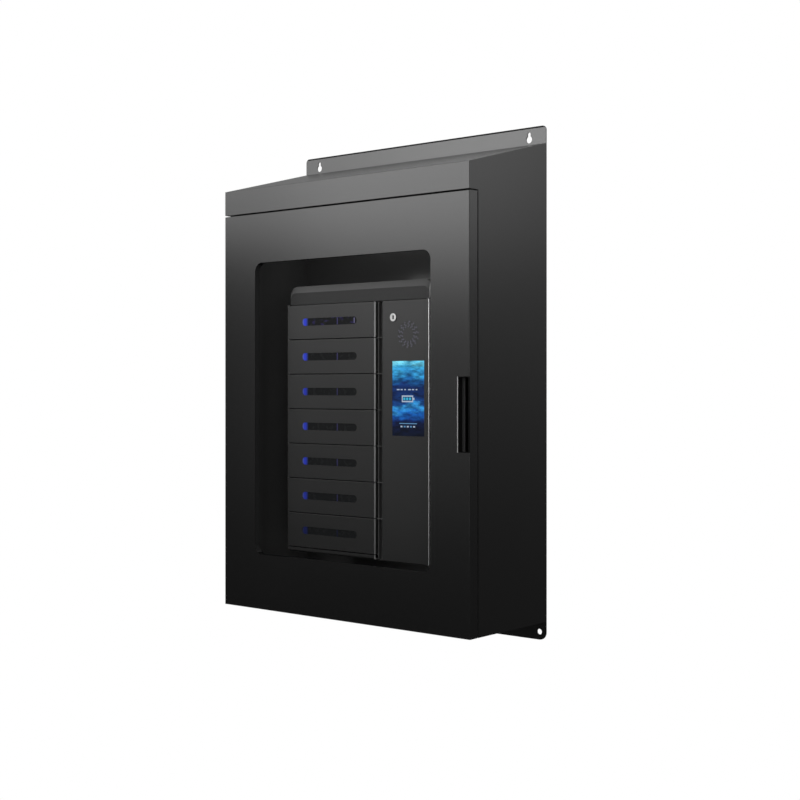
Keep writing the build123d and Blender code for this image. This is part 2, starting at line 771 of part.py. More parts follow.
with BuildPart() as latch_units:
    for number in range(1, bay_count + 1):
        latch_z = (bay_middle(number) - latch_height / 2, bay_middle(number) + latch_height / 2)
        latch_span = (web_right, web_right + latch_width)
        latch_front = channel_floor - case_sheet
        block(latch_span, (latch_front - latch_depth, latch_front), latch_z)
        bolt_bore = bolt_radius + bolt_play
        rod_across(latch_span, bolt_depth, bay_middle(number), bolt_bore, mode=Mode.SUBTRACT)
latch_units.part.label = "latch_units"
export_step(latch_units.part, "parts/latch_units.step")

# ==== Electrics ====

# Sealed charging modules, one on the back wall of each bay, each with a gland for its lead.
with BuildPart() as charging_modules:
    port_x = leaf_left + port_from_left
    port_front = back_front + port_size[1]
    port_span = (port_x - port_size[0] / 2, port_x + port_size[0] / 2)
    for number in range(1, bay_count + 1):
        port_z = bay_middle(number)
        block(port_span, (back_front, port_front), (port_z - port_size[2] / 2, port_z + port_size[2] / 2))
        rod_out(port_x, (port_front, port_front + lead_gland_length), port_z, lead_gland_radius)
charging_modules.part.label = "charging_modules"
export_step(charging_modules.part, "parts/charging_modules.step")

with BuildPart() as control_board:
    board_z = case_ceiling - board_drop - board_size[2] / 2
    board_back = back_front + board_standoff
    board_front = board_back + board_size[1]
    block(
        (compartment_x - board_size[0] / 2, compartment_x + board_size[0] / 2),
        (board_back, board_front),
        (board_z - board_size[2] / 2, board_z + board_size[2] / 2),
    )
    for side in (-1, 1):
        for end in (-1, 1):
            post_x = compartment_x + side * (board_size[0] / 2 - 2 * standoff_radius)
            post_z = board_z + end * (board_size[2] / 2 - 2 * standoff_radius)
            rod_out(post_x, (back_front, board_back), post_z, standoff_radius)
    for step in (-1, 0, 1):
        chip_z = board_z + step * board_size[2] / 4
        chip_half = board_size[2] / 14
        block(
            (compartment_x - chip_half, compartment_x + chip_half),
            (board_front, board_front + 2 * board_size[1]),
            (chip_z - chip_half, chip_z + chip_half),
        )
control_board.part.label = "control_board"
export_step(control_board.part, "parts/control_board.step")

with BuildPart() as power_supply:
    supply_z = (case_floor + supply_lift, case_floor + supply_lift + supply_size[2])
    block(
        (compartment_x - supply_size[0] / 2, compartment_x + supply_size[0] / 2),
        (back_front, back_front + supply_size[1]),
        supply_z,
    )
    for screw_z in screw_zs:
        rod_out(
            screw_xs[1],
            (back_front, back_front + 2 * screw_head_height),
            screw_z,
            screw_head_radius + 1,
            mode=Mode.SUBTRACT,
        )
power_supply.part.label = "power_supply"
export_step(power_supply.part, "parts/power_supply.step")

with BuildPart() as power_inlet:
    inlet_base = case_bottom - inlet_flange_thickness
    block(
        (inlet_x - inlet_size[0] / 2, inlet_x + inlet_size[0] / 2),
        (inlet_depth - inlet_size[1] / 2, inlet_depth + inlet_size[1] / 2),
        (case_bottom, case_bottom + inlet_size[2]),
    )
    block(
        (inlet_x - inlet_size[0] / 2 - inlet_flange, inlet_x + inlet_size[0] / 2 + inlet_flange),
        (inlet_depth - inlet_size[1] / 2 - inlet_flange, inlet_depth + inlet_size[1] / 2 + inlet_flange),
        (inlet_base, case_bottom),
    )
    block(
        (inlet_x - inlet_hollow[0] / 2, inlet_x + inlet_hollow[0] / 2),
        (inlet_depth - inlet_hollow[1] / 2, inlet_depth + inlet_hollow[1] / 2),
        (inlet_base, inlet_base + inlet_hollow[2]),
        mode=Mode.SUBTRACT,
    )
    for step in (-1, 0, 1):
        pin_x = inlet_x + step * inlet_pin_spacing
        block(
            (pin_x - inlet_pin[0] / 2, pin_x + inlet_pin[0] / 2),
            (inlet_depth - inlet_pin[1] / 2, inlet_depth + inlet_pin[1] / 2),
            (inlet_base + inlet_hollow[2] - inlet_pin[2], inlet_base + inlet_hollow[2]),
        )
power_inlet.part.label = "power_inlet"
export_step(power_inlet.part, "parts/power_inlet.step")

# ==== Bay doors with their smoked windows, and the latch bolts ====

for number in range(1, bay_count + 1):
    middle = bay_middle(number)
    leaf_span = (middle - leaf_height / 2, middle + leaf_height / 2)

    with BuildPart() as bay_door:
        block((leaf_left, leaf_right), (leaf_back, face_depth), leaf_span)
        hinge_edge = bay_door.faces().sort_by(Axis.Y)[0].edges().filter_by(Axis.Z).sort_by(Axis.X)[0]
        fillet(hinge_edge, min(leaf_hinge_round, leaf_thickness - leaf_round))
        face_edges = bay_door.faces().sort_by(Axis.Y)[0].edges()
        fillet(face_edges - face_edges.filter_by(Axis.Z).sort_by(Axis.X)[0:1], leaf_round)
        with BuildSketch(Plane.XZ.offset(leaf_back)):
            with Locations((slot_x, middle)):
                SlotOverall(slot_length, slot_height)
        extrude(amount=leaf_thickness, mode=Mode.SUBTRACT)
        # The closing edge is folded back over its whole height, and the strike stands behind the fold.
        block(
            (strike_right - return_sheet, strike_right),
            (leaf_back - return_depth, leaf_back),
            (leaf_span[0] + return_inset, leaf_span[1] - return_inset),
        )
        block(
            (strike_right - strike_thickness, strike_right),
            (strike_end, leaf_back),
            (middle - strike_height / 2, middle + strike_height / 2),
        )
        strike_hole = bolt_radius + strike_clearance
        strike_span = (strike_right - strike_thickness, strike_right)
        rod_across(strike_span, bolt_depth, middle, strike_hole, mode=Mode.SUBTRACT)
        lower_hole = (leaf_span[0], leaf_span[0] + pivot_hole_depth)
        upper_hole = (leaf_span[1] - pivot_hole_depth, leaf_span[1])
        for hole_span in (lower_hole, upper_hole):
            rod_up(bay_pivot_x, pivot_depth, hole_span, pivot_bore, mode=Mode.SUBTRACT)
    bay_door.part.label = f"bay_door_{number}"
    export_step(bay_door.part, f"parts/bay_door_{number}.step")

    with BuildPart() as bay_window:
        flange_length = slot_length + 2 * glazing_border
        flange_height = slot_height + 2 * glazing_border
        with BuildSketch(Plane.XZ.offset(leaf_back - glazing_flange)):
            with Locations((slot_x, middle)):
                RectangleRounded(flange_length, flange_height, glazing_border)
        extrude(amount=glazing_flange)
        with BuildSketch(Plane.XZ.offset(leaf_back)):
            with Locations((slot_x, middle)):
                SlotOverall(slot_length, slot_height)
        extrude(amount=leaf_thickness - glazing_recess)
        light_left = slot_x - slot_length / 2
        block(
            (light_left, light_left + light_length),
            (leaf_back - glazing_flange - light_depth, leaf_back - glazing_flange),
            (middle - slot_height / 2, middle + slot_height / 2),
        )
    bay_window.part.label = f"bay_window_{number}"
    export_step(bay_window.part, f"parts/bay_window_{number}.step")

    with BuildPart() as latch_bolt:
        rod_across((bolt_tip, bolt_tip + bolt_length), bolt_depth, middle, bolt_radius)
    latch_bolt.part.label = f"latch_bolt_{number}"
    export_step(latch_bolt.part, f"parts/latch_bolt_{number}.step")

# ==== Service door, screen, speaker and lock ====

with BuildPart() as service_door:
    block((service_left, service_right), (leaf_back, face_depth), (service_bottom, service_top))
    fillet(service_door.faces().sort_by(Axis.Y)[0].edges(), leaf_round)
    with BuildSketch(Plane.XZ.offset(leaf_back)):
        with Locations((screen_x, screen_z)):
            Rectangle(screen_width + 2 * glass_play, screen_height + 2 * glass_play)
        with Locations((lock_x, lock_z)):
            Circle(lock_body_radius + lock_play)
        with Locations((screen_x, speaker_z)):
            for ring, ring_radius in enumerate(sound_ring_radii):
                turn = (ring % 2) * 180 / sound_holes_per_ring
                with PolarLocations(ring_radius, sound_holes_per_ring, start_angle=turn):
                    Circle(sound_hole_radius)
    extrude(amount=leaf_thickness, mode=Mode.SUBTRACT)
    for hole_span in (
        (service_bottom, service_bottom + pivot_hole_depth),
        (service_top - pivot_hole_depth, service_top),
    ):
        rod_up(service_pivot_x, pivot_depth, hole_span, pivot_bore, mode=Mode.SUBTRACT)
service_door.part.label = "service_door"
export_step(service_door.part, "parts/service_door.step")

screen_span = (screen_x - screen_width / 2, screen_x + screen_width / 2)
screen_rise = (screen_z - screen_height / 2, screen_z + screen_height / 2)

with BuildPart() as touch_glass:
    block(screen_span, (face_depth - glass_thickness, face_depth), screen_rise)
touch_glass.part.label = "touch_glass"
export_step(touch_glass.part, "parts/touch_glass.step")

with BuildPart() as display_module:
    block(screen_span, (leaf_back, face_depth - glass_thickness), screen_rise)
    block(
        (screen_span[0] - module_border, screen_span[1] + module_border),
        (leaf_back - module_depth, leaf_back),
        (screen_rise[0] - module_border, screen_rise[1] + module_border),
    )
display_module.part.label = "display_module"
export_step(display_module.part, "parts/display_module.step")

with BuildPart() as speaker:
    rod_out(screen_x, (leaf_back - speaker_depth / 4, leaf_back), speaker_z, speaker_radius)
    with BuildSketch(Plane.XZ.offset(leaf_back - speaker_depth / 4)):
        with Locations((screen_x, speaker_z)):
            Circle(speaker_radius * 0.85)
    extrude(amount=-speaker_depth * 0.75, taper=25)
speaker.part.label = "speaker"
export_step(speaker.part, "parts/speaker.step")

with BuildPart() as lock_barrel:
    rod_out(lock_x, (face_depth, face_depth + lock_head_height), lock_z, lock_head_radius)
    chamfer(lock_barrel.edges().group_by(Axis.Y)[0], lock_head_height / 3)
    rod_out(lock_x, (lock_back, face_depth), lock_z, lock_body_radius)
    plug_bore = plug_radius + plug_play
    rod_out(lock_x, (lock_back, face_depth + lock_head_height), lock_z, plug_bore, mode=Mode.SUBTRACT)
lock_barrel.part.label = "lock_barrel"
export_step(lock_barrel.part, "parts/lock_barrel.step")

with BuildPart() as lock_nut:
    with BuildSketch(Plane.XZ.offset(leaf_back - nut_thickness)):
        with Locations((lock_x, lock_z)):
            RegularPolygon(nut_size / 2, 6, major_radius=False)
            Circle(lock_body_radius + plug_play, mode=Mode.SUBTRACT)
    extrude(amount=nut_thickness)
lock_nut.part.label = "lock_nut"
export_step(lock_nut.part, "parts/lock_nut.step")

plug_front = face_depth + lock_head_height - plug_recess
with BuildPart() as lock_plug:
    rod_out(lock_x, (lock_back, plug_front), lock_z, plug_radius)
    rod_out(lock_x, (cam_front - cam_thickness, lock_back), lock_z, spigot_radius)
    block(
        (lock_x - key_slot[0] / 2, lock_x + key_slot[0] / 2),
        (plug_front - key_slot[2], plug_front),
        (lock_z - key_slot[1] / 2, lock_z + key_slot[1] / 2),
        mode=Mode.SUBTRACT,
    )
lock_plug.part.label = "lock_plug"
export_step(lock_plug.part, "parts/lock_plug.step")

# The cam hangs straight down while the lock is open and turns to point behind the centre wall's jamb.
with BuildPart() as lock_cam:
    with BuildSketch(Plane.XZ.offset(cam_front - cam_thickness)):
        with Locations((lock_x, lock_z)):
            Circle(cam_width / 2)
        with Locations((lock_x, lock_z - cam_length / 2)):
            Rectangle(cam_width, cam_length)
        with Locations((lock_x, lock_z)):
            Circle(spigot_radius + plug_play, mode=Mode.SUBTRACT)
    extrude(amount=cam_thickness)
lock_cam.part.label = "lock_cam"
export_step(lock_cam.part, "parts/lock_cam.step")
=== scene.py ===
import json
import math

import bmesh
import bpy
from mathutils import Matrix, Vector


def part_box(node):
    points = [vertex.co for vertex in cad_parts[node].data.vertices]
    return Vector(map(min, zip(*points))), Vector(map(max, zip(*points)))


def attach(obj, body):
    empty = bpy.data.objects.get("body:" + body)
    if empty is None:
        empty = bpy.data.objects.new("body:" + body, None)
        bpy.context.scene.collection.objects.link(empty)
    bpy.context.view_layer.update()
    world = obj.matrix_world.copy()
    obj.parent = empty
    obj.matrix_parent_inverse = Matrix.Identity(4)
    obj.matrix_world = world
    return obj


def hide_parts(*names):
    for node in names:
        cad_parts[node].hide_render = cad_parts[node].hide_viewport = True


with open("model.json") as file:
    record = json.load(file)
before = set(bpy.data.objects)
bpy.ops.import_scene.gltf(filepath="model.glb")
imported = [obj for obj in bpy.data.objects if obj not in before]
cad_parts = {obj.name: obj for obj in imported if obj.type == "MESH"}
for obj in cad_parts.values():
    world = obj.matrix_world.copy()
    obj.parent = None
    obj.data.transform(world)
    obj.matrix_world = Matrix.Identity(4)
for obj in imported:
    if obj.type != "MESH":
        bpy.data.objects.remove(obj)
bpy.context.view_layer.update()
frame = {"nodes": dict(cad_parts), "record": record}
nodes = frame["nodes"]

MM = 0.001
BAYS = range(1, 8)
OUT, BACK, UP = Vector((0, -1, 0)), Vector((0, 1, 0)), Vector((0, 0, 1))


def corners(node):
    """Lowest and highest corner of a CAD node."""
    low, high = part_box(node)
    return Vector(low), Vector(high)


def face_middle(low, high, depth=None):
    """The middle of a box as seen from the front, on its front face or at another depth."""
    return Vector(((low.x + high.x) / 2, low.y if depth is None else depth, (low.z + high.z) / 2))


# ==== Ways of making a finish ====

# Nearly all values of a noise lie between these two.
NOISE_LOW, NOISE_HIGH = 0.3, 0.7


def new_finish(name, **values):
    """A new material, its node tree, its shader with these sockets filled, and the object's coordinates."""
    material = bpy.data.materials.new(name)
    material.use_nodes = True
    tree = material.node_tree
    shader = tree.nodes["Principled BSDF"]
    put(shader, **values)
    return material, tree, shader, new_node(tree, "TexCoord").outputs["Object"]


def fill(socket, value):
    """Give a node's socket a number, a colour or another node's output."""
    if isinstance(value, bpy.types.NodeSocket):
        socket.id_data.links.new(value, socket)
    else:
        socket.default_value = (*value, 1) if socket.type == "RGBA" else value


def put(node, **values):
    """Fill a node's sockets by name. An underscore stands for a space."""
    for name, value in values.items():
        fill(node.inputs[name.replace("_", " ")], value)


def new_node(tree, kind, **values):
    """A new node of a kind, with these sockets filled."""
    node = tree.nodes.new(f"ShaderNode{kind}")
    put(node, **values)
    return node


def noise(tree, place, scale, detail=3.0, roughness=0.5):
    """Soft random variation, as a value from 0 to 1."""
    node = new_node(tree, "TexNoise", Vector=place, Scale=scale, Detail=detail, Roughness=roughness)
    return node.outputs["Fac"]


def ramp(tree, value, stops):
    """Colours along a value, as (position, colour) stops."""
    node = new_node(tree, "ValToRGB", Fac=value)
    elements = node.color_ramp.elements
    elements[0].position, elements[0].color = stops[0][0], (*stops[0][1], 1)
    elements[1].position, elements[1].color = stops[-1][0], (*stops[-1][1], 1)
    for position, colour in stops[1:-1]:
        elements.new(position).color = (*colour, 1)
    return node.outputs["Color"]


def spread(tree, value, start, end, low=0.0, high=1.0):
    """A value moved from one range to another, which is 0 to 1 unless given."""
    node = new_node(tree, "MapRange", Value=value, From_Min=start, From_Max=end, To_Min=low, To_Max=high)
    return node.outputs["Result"]


def clouded(tree, value, dark, light):
    """A colour that goes from dark to light with a noise value."""
    return ramp(tree, value, ((NOISE_LOW, dark), (NOISE_HIGH, light)))


def vary_sheen(tree, shader, value, roughness, reach):
    """Roughness that varies by a reach to each side with a noise value."""
    put(shader, Roughness=spread(tree, value, NOISE_LOW, NOISE_HIGH, roughness - reach, roughness + reach))


def bump(tree, shader, height, strength):
    """Surface relief from a height."""
    relief = new_node(tree, "Bump", Height=height, Strength=strength, Distance=0.1 * MM)
    put(shader, Normal=relief.outputs["Normal"])


def stretched(tree, place, scale):
    """Coordinates stretched along the axes, for brushed and drawn surfaces."""
    return new_node(tree, "Mapping", Vector=place, Scale=scale).outputs["Vector"]


def axis_value(tree, place, axis):
    """One coordinate of a place."""
    return new_node(tree, "SeparateXYZ", Vector=place).outputs[axis]


def math_node(tree, operation, *values):
    """A sum on one to three values, each a number or another node's output."""
    node = new_node(tree, "Math")
    node.operation = operation
    for socket, value in zip(node.inputs, values):
        fill(socket, value)
    return node.outputs[0]


def beyond(tree, place, axis, limit):
    """1 where a coordinate is over a limit, and 0 elsewhere."""
    return math_node(tree, "GREATER_THAN", axis_value(tree, place, axis), limit)


def inside(tree, place, low, high):
    """1 where a place lies between two corners, and 0 elsewhere."""
    share = 1.0
    for axis, start, end in zip("XYZ", low, high):
        middle, reach = (start + end) / 2, (end - start) / 2
        test = math_node(tree, "COMPARE", axis_value(tree, place, axis), middle, reach)
        share = math_node(tree, "MULTIPLY", test, share)
    return share


def blend_colours(tree, share, first, second):
    """First colour where share is 0, second where it is 1."""
    node = new_node(tree, "Mix")
    node.data_type = "RGBA"
    put(node, Factor=share, A=first, B=second)
    return node.outputs["Result"]


def scaled(tree, colour, share):
    """A colour times a share, both from other nodes."""
    node = new_node(tree, "VectorMath")
    node.operation = "SCALE"
    put(node, Vector=colour, Scale=share)
    return node.outputs[0]


def grey(value):
    """An even grey."""
    return (value,) * 3


COAT_VARIATION = 0.06
# How far the roughness varies to each side.
COAT_REACH, METAL_REACH, MOULDING_REACH = 0.005, 0.08, 0.06
# How much the grain moves a colour that changes along a piece.
GRAIN_SHIFT = 0.12


def coat_tones(tree, place, level):
    """The faint clouding of a sprayed coat about one level."""
    dark, light = grey(level * (1 - COAT_VARIATION)), grey(level * (1 + COAT_VARIATION))
    return clouded(tree, noise(tree, place, scale=5.0), dark, light)


def coat_surface(tree, shader, place, roughness):
    """The even sheen and the fine grain of a powder coat."""
    sheen = noise(tree, place, scale=220.0, detail=2.0)
    vary_sheen(tree, shader, sheen, roughness, COAT_REACH)
    bump(tree, shader, noise(tree, place, scale=1400.0, detail=2.0), strength=0.05)


def powder_coat(name, level, roughness, areas=(), gloss=0.5, dull_above=None):
    """Satin powder coat. Each area is (low corner, high corner, level), where the coat is another tone.

    Above the height dull_above, if given, the coat is thin and dull, as on a cut edge.
    """
    material, tree, shader, place = new_finish(name, Specular_IOR_Level=gloss)
    colour = coat_tones(tree, place, level)
    for low, high, area_level in areas:
        area_tones = coat_tones(tree, place, area_level)
        colour = blend_colours(tree, inside(tree, place, low, high), colour, area_tones)
    coat_surface(tree, shader, place, roughness)
    if dull_above is not None:
        sheen = shader.inputs["Roughness"].links[0].from_socket
        cut_edge = beyond(tree, place, "Z", dull_above)
        put(shader, Roughness=math_node(tree, "MAXIMUM", sheen, cut_edge))
        colour = blend_colours(tree, cut_edge, colour, grey(level))
    put(shader, Base_Color=colour)
    return material


# Painted light and shade: the locker's coat and its bright edges are painted lighter towards the head and
# darker towards the foot.
FOOT_SHARE, HEAD_SHARE = 0.6, 1.35
EDGE_WIDTH, EDGE_METAL = 2 * MM, 0.35


def edged_coat(name, level, edge_x, edge_levels):
    """The locker's coat, with a bare aluminium edge from edge_x on; the edge's brightness is partly a
    painted highlight, and both are painted lighter towards the head and darker towards the foot as painted
    light and shade.

    The coat itself goes from FOOT_SHARE of its level at the service door's foot to HEAD_SHARE at its head.
    """
    material, tree, shader, place = new_finish(name, Specular_IOR_Level=LOCKER_GLOSS)
    across = axis_value(tree, place, "X")
    edge = math_node(tree, "COMPARE", across, edge_x + EDGE_WIDTH / 2, EDGE_WIDTH / 2)
    brushed = noise(tree, stretched(tree, place, (1, 900, 12)), scale=3.0)
    rise = spread(tree, axis_value(tree, place, "Z"), service_low.z, service_high.z)
    tone = math_node(tree, "MULTIPLY_ADD", brushed, GRAIN_SHIFT, rise)
    metal = ramp(tree, tone, ((0.0, grey(edge_levels[0])), (1.0, grey(edge_levels[1]))))
    share = spread(tree, rise, 0.0, 1.0, FOOT_SHARE, HEAD_SHARE)
    coat = scaled(tree, coat_tones(tree, place, level), share)
    put(shader, Base_Color=blend_colours(tree, edge, coat, metal))
    coat_surface(tree, shader, place, LOCKER_SHEEN)
    put(shader, Metallic=math_node(tree, "MULTIPLY", edge, EDGE_METAL))
    return material


def drawn_metal(name, dark, light, roughness, grain=(1, 1, 24), scale=90.0):
    """Plated or drawn metal with fine lines along its length and a slightly uneven plating."""
    material, tree, shader, place = new_finish(name, Metallic=1.0)
    lines = noise(tree, stretched(tree, place, grain), scale, detail=4.0)
    patches = noise(tree, place, scale=25.0)
    mixed = math_node(tree, "MULTIPLY_ADD", lines, 0.5, math_node(tree, "MULTIPLY", patches, 0.5))
    put(shader, Base_Color=ramp(tree, mixed, ((0.35, dark), (0.65, light))))
    vary_sheen(tree, shader, lines, roughness, METAL_REACH)
    bump(tree, shader, lines, strength=0.15)
    return material


def moulding(name, dark, light, roughness, grain=1600.0, relief=0.35, gloss=0.5):
    """Moulded plastic or rubber with a fine matt grain."""
    material, tree, shader, place = new_finish(name, Specular_IOR_Level=gloss)
    put(shader, Base_Color=clouded(tree, noise(tree, place, scale=40.0), dark, light))
    vary_sheen(tree, shader, noise(tree, place, scale=120.0, detail=4.0), roughness, MOULDING_REACH)
    bump(tree, shader, noise(tree, place, grain, detail=2.0), relief)
    return material


WINDOW_GLOSS = 0.08


def smoked_plastic(name, glow_strength=0.0):
    """Dark smoked acrylic: nearly black, with a trace of haze and, if it glows, faint blue glowing patches
    that are painted reflections.
    """
    material, tree, shader, place = new_finish(name, Specular_IOR_Level=WINDOW_GLOSS)
    if glow_strength:
        # Painted reflections: the blue patches glow on the window to stand in for reflections.
        patches = noise(tree, stretched(tree, place, (1, 1, 2)), scale=62.0, detail=1.0)
        stops = ((0.56, grey(0.0)), (0.66, (0.09, 0.06, 0.36)), (0.74, (0.12, 0.08, 0.5)))
        put(shader, Emission_Color=ramp(tree, patches, stops), Emission_Strength=glow_strength)
    haze = clouded(tree, noise(tree, place, scale=18.0), (0.0085, 0.009, 0.0095), (0.0105, 0.011, 0.0115))
    put(shader, Base_Color=haze)
    vary_sheen(tree, shader, noise(tree, place, scale=90.0), roughness=0.26, reach=0.04)
    return material


def lit_plastic(name, low_x, high_x, stops, strength):
    """Light guide plastic that glows; its colour changes from its left end to its right end."""
    material, tree, shader, place = new_finish(name)
    across = spread(tree, axis_value(tree, place, "X"), low_x, high_x)
    softened = math_node(tree, "MULTIPLY_ADD", noise(tree, place, scale=260.0), GRAIN_SHIFT, across)
    put(shader, Emission_Color=ramp(tree, softened, stops), Base_Color=(0.008, 0.01, 0.024))
    put(shader, Emission_Strength=strength, Roughness=0.35, Specular_IOR_Level=WINDOW_GLOSS)
    return material


# ==== Finishes ====

# The coats are black. A higher level stands for a face that catches more of the room's light.
BLACK = 0.0042
FRONT_SHEEN, SIDE_SHEEN = 0.265, 0.3
SKIN = 0.1 * MM
cabinet_coat = powder_coat("cabinet_coat", BLACK, FRONT_SHEEN)

side_low = corners("left_side_panel")[0]
plate_low, plate_high = corners("back_plate")
roof_high = corners("top_hood")[1]
# Painted light: the inside of the cabinet is painted paler than its black outside, to stand in for the
# light that reaches in.
INNER_PAINTED_LIGHT = 0.06
INTO_SIDE, INTO_ROOF = 0.4 * MM, 1.2 * MM
inner_low = Vector((-roof_high.x - INTO_SIDE, side_low.y - MM, side_low.z + SKIN))
inner_high = Vector((roof_high.x + INTO_SIDE, plate_low.y + SKIN, roof_high.z - INTO_ROOF))
inner_area = (inner_low, inner_high, INNER_PAINTED_LIGHT)
shell_coat = powder_coat("shell_coat", BLACK, SIDE_SHEEN, areas=(inner_area,))

# Painted light: the back plate's flange above the roof is painted as pale as the inside, for the light that
# falls on its front.
FLANGE_END, CUT_EDGE = 0.6 * MM, 3.4 * MM
flange_low = (plate_low.x + FLANGE_END, plate_low.y - MM, inner_high.z)
plate_coat = powder_coat(
    "plate_coat", BLACK, SIDE_SHEEN,
    areas=(inner_area, (flange_low, plate_high, INNER_PAINTED_LIGHT)),
    dull_above=plate_high.z - CUT_EDGE,
)

# Inside the left panel the level rises with the depth, and more so low down than near the roof: painted
# light, paler where more light reaches in.
INNER_SIDE_LEVEL = 0.072
MOUTH_DEPTH, FULL_DEPTH = -0.145, -0.075
MOUTH_SHARE, LOW_RISE, HIGH_RISE = 0.6, 1.0, 0.3
LOW_HEIGHT, HIGH_HEIGHT = 0.0, 0.2


def side_painted_light():
    """The left side's coat, with painted light inside: paler deep inside the cabinet than at its mouth."""
    material, tree, shader, place = new_finish("side_painted_light")
    depth = spread(tree, axis_value(tree, place, "Y"), MOUTH_DEPTH, FULL_DEPTH)
    rise = spread(tree, axis_value(tree, place, "Z"), LOW_HEIGHT, HIGH_HEIGHT, LOW_RISE, HIGH_RISE)
    share = math_node(tree, "MULTIPLY_ADD", depth, rise, MOUTH_SHARE)
    inner = scaled(tree, coat_tones(tree, place, INNER_SIDE_LEVEL), share)
    within = inside(tree, place, inner_low, inner_high)
    colour = blend_colours(tree, within, coat_tones(tree, place, BLACK), inner)
    put(shader, Base_Color=colour)
    coat_surface(tree, shader, place, SIDE_SHEEN)
    return material


# Painted light: the bottom panel and the door frame are painted paler than the black coat, to stand in for
# the light that reaches them.
inside_coat = powder_coat("inside_coat", level=0.035, roughness=0.38)

WINDOW_WIDTH = 488.4 * MM
# Painted light: the window's left lip is painted paler than the door's black coat, where the light falls on
# it.
LIP_LEVEL = 0.022
LIP_MARGIN, LIP_REACH = 0.5 * MM, 8 * MM
LIP_START, LIP_END = 0.6 * MM, 14 * MM
door_low, door_high = corners("front_door")
window_left = (door_low.x + door_high.x - WINDOW_WIDTH) / 2
lip_low = (window_left - LIP_MARGIN, door_low.y + LIP_START, door_low.z)
lip_high = (window_left + LIP_REACH, door_low.y + LIP_END, door_high.z)
door_coat = powder_coat("door_coat", BLACK, FRONT_SHEEN, areas=((lip_low, lip_high, LIP_LEVEL),))

LOCKER_LEVEL, LOCKER_SHEEN, LOCKER_GLOSS = 0.022, 0.42, 0.25
case_coat = powder_coat("case_coat", LOCKER_LEVEL, LOCKER_SHEEN, gloss=LOCKER_GLOSS)
channel_coat = powder_coat("channel_coat", level=0.055, roughness=0.45, gloss=LOCKER_GLOSS)

# Painted light and shade: the cap's bevel and its right end are painted paler where light falls on them,
# and its front face darker.
CAP_BEVEL_LEVEL, CAP_END_LEVEL, CAP_FRONT_LEVEL = 0.05, 0.25, 0.014
CAP_BEVEL, CAP_END, CAP_FRONT = 6 * MM, 5.5 * MM, 0.2 * MM
cap_low, cap_high = corners("locker_cap")
bevel_back = cap_low.y + CAP_BEVEL
front_low = (cap_low.x, cap_low.y - CAP_FRONT, cap_low.z)
front_high = (cap_high.x, cap_low.y + CAP_FRONT, cap_high.z)
cap_coat = powder_coat(
    "cap_coat", level=0.02, roughness=0.5, gloss=LOCKER_GLOSS,
    areas=(
        (cap_low, (cap_high.x, bevel_back, cap_high.z), CAP_BEVEL_LEVEL),
        ((cap_high.x - CAP_END, cap_low.y, cap_low.z), (cap_high.x, bevel_back, cap_high.z), CAP_END_LEVEL),
        (front_low, front_high, CAP_FRONT_LEVEL),
    ),
)

case_low = corners("locker_case")[0]
service_low, service_high = corners("service_door")
leaf_high = corners("bay_door_1")[1]
# The leaves' and the service door's right edges are painted bright, partly as a painted highlight, and
# lighter at the head than at the foot.
SERVICE_LEVEL, SERVICE_EDGE = 0.024, 1.4 * MM
leaf_coat = edged_coat("leaf_coat", LOCKER_LEVEL, leaf_high.x - SKIN, edge_levels=(0.3, 0.95))
service_coat = edged_coat(
    "service_coat", SERVICE_LEVEL, service_high.x - SERVICE_EDGE, edge_levels=(0.35, 0.95)
)

zinc = drawn_metal("zinc", (0.42, 0.43, 0.45), (0.62, 0.63, 0.65), roughness=0.34)
nickel = drawn_metal(
    "nickel", (0.42, 0.42, 0.415), (0.54, 0.54, 0.535), roughness=0.42, grain=(1, 1, 1), scale=300.0
)
galvanised = drawn_metal(
    "galvanised", (0.34, 0.36, 0.38), (0.6, 0.62, 0.64), roughness=0.45, grain=(1, 1, 1), scale=60.0
)
brass = drawn_metal("brass", (0.5, 0.36, 0.14), (0.7, 0.52, 0.22), roughness=0.3)
rubber = moulding("rubber", grey(0.012), grey(0.02), roughness=0.82, grain=900.0, relief=0.5)
black_plastic = moulding("black_plastic", grey(0.01), grey(0.015), roughness=0.5)
# Painted shade: a near-black, barely glossy plastic that stands in for the shade in the pull's pocket, the
# key slot and the sound holes.
painted_shade_plastic = moulding("painted_shade_plastic", grey(0.0012), grey(0.002), roughness=0.7, gloss=0.08)
relay_plastic = moulding(
    "relay_plastic", (0.012, 0.05, 0.16), (0.02, 0.07, 0.2), roughness=0.45, relief=0.15
)
# Partly real and partly painted light: pale cloth in the sound holes, which also stands in for highlights
# in the holes.
hole_cloth_painted_light = moulding(
    "hole_cloth_painted_light", (0.34, 0.34, 0.5), (0.42, 0.42, 0.6), roughness=0.85, grain=2400.0, relief=0.6
)
pale_plastic = moulding("pale_plastic", (0.5, 0.48, 0.43), (0.62, 0.6, 0.55), roughness=0.5, relief=0.15)
smoked = smoked_plastic("smoked_plastic")
window_painted_reflections = smoked_plastic("window_painted_reflections", glow_strength=0.12)


def nickel_painted_shade(name, shade_mask):
    """Nickel plate that is painted dark, as painted shade, where a mask given the node tree and the place
    is 1.
    """
    material = nickel.copy()
    material.name = name
    tree = material.node_tree
    shader = tree.nodes["Principled BSDF"]
    place = tree.nodes["Texture Coordinate"].outputs["Object"]
    share = shade_mask(tree, place)
    plating = shader.inputs["Base Color"].links[0].from_socket
    dark = coat_tones(tree, place, PAINTED_SHADE_LEVEL)
    put(shader, Base_Color=blend_colours(tree, share, plating, dark))
    put(shader, Metallic=math_node(tree, "SUBTRACT", 1.0, share))
    return material


# Painted shade: the key slot of the plug and the rim of the lock's head are painted dark.
PAINTED_SHADE_LEVEL = 0.004
KEY_SLOT_HALF = Vector((1.8, 6.0, 3.6)) * MM
HEAD_SHADE_RADIUS = 8.1 * MM


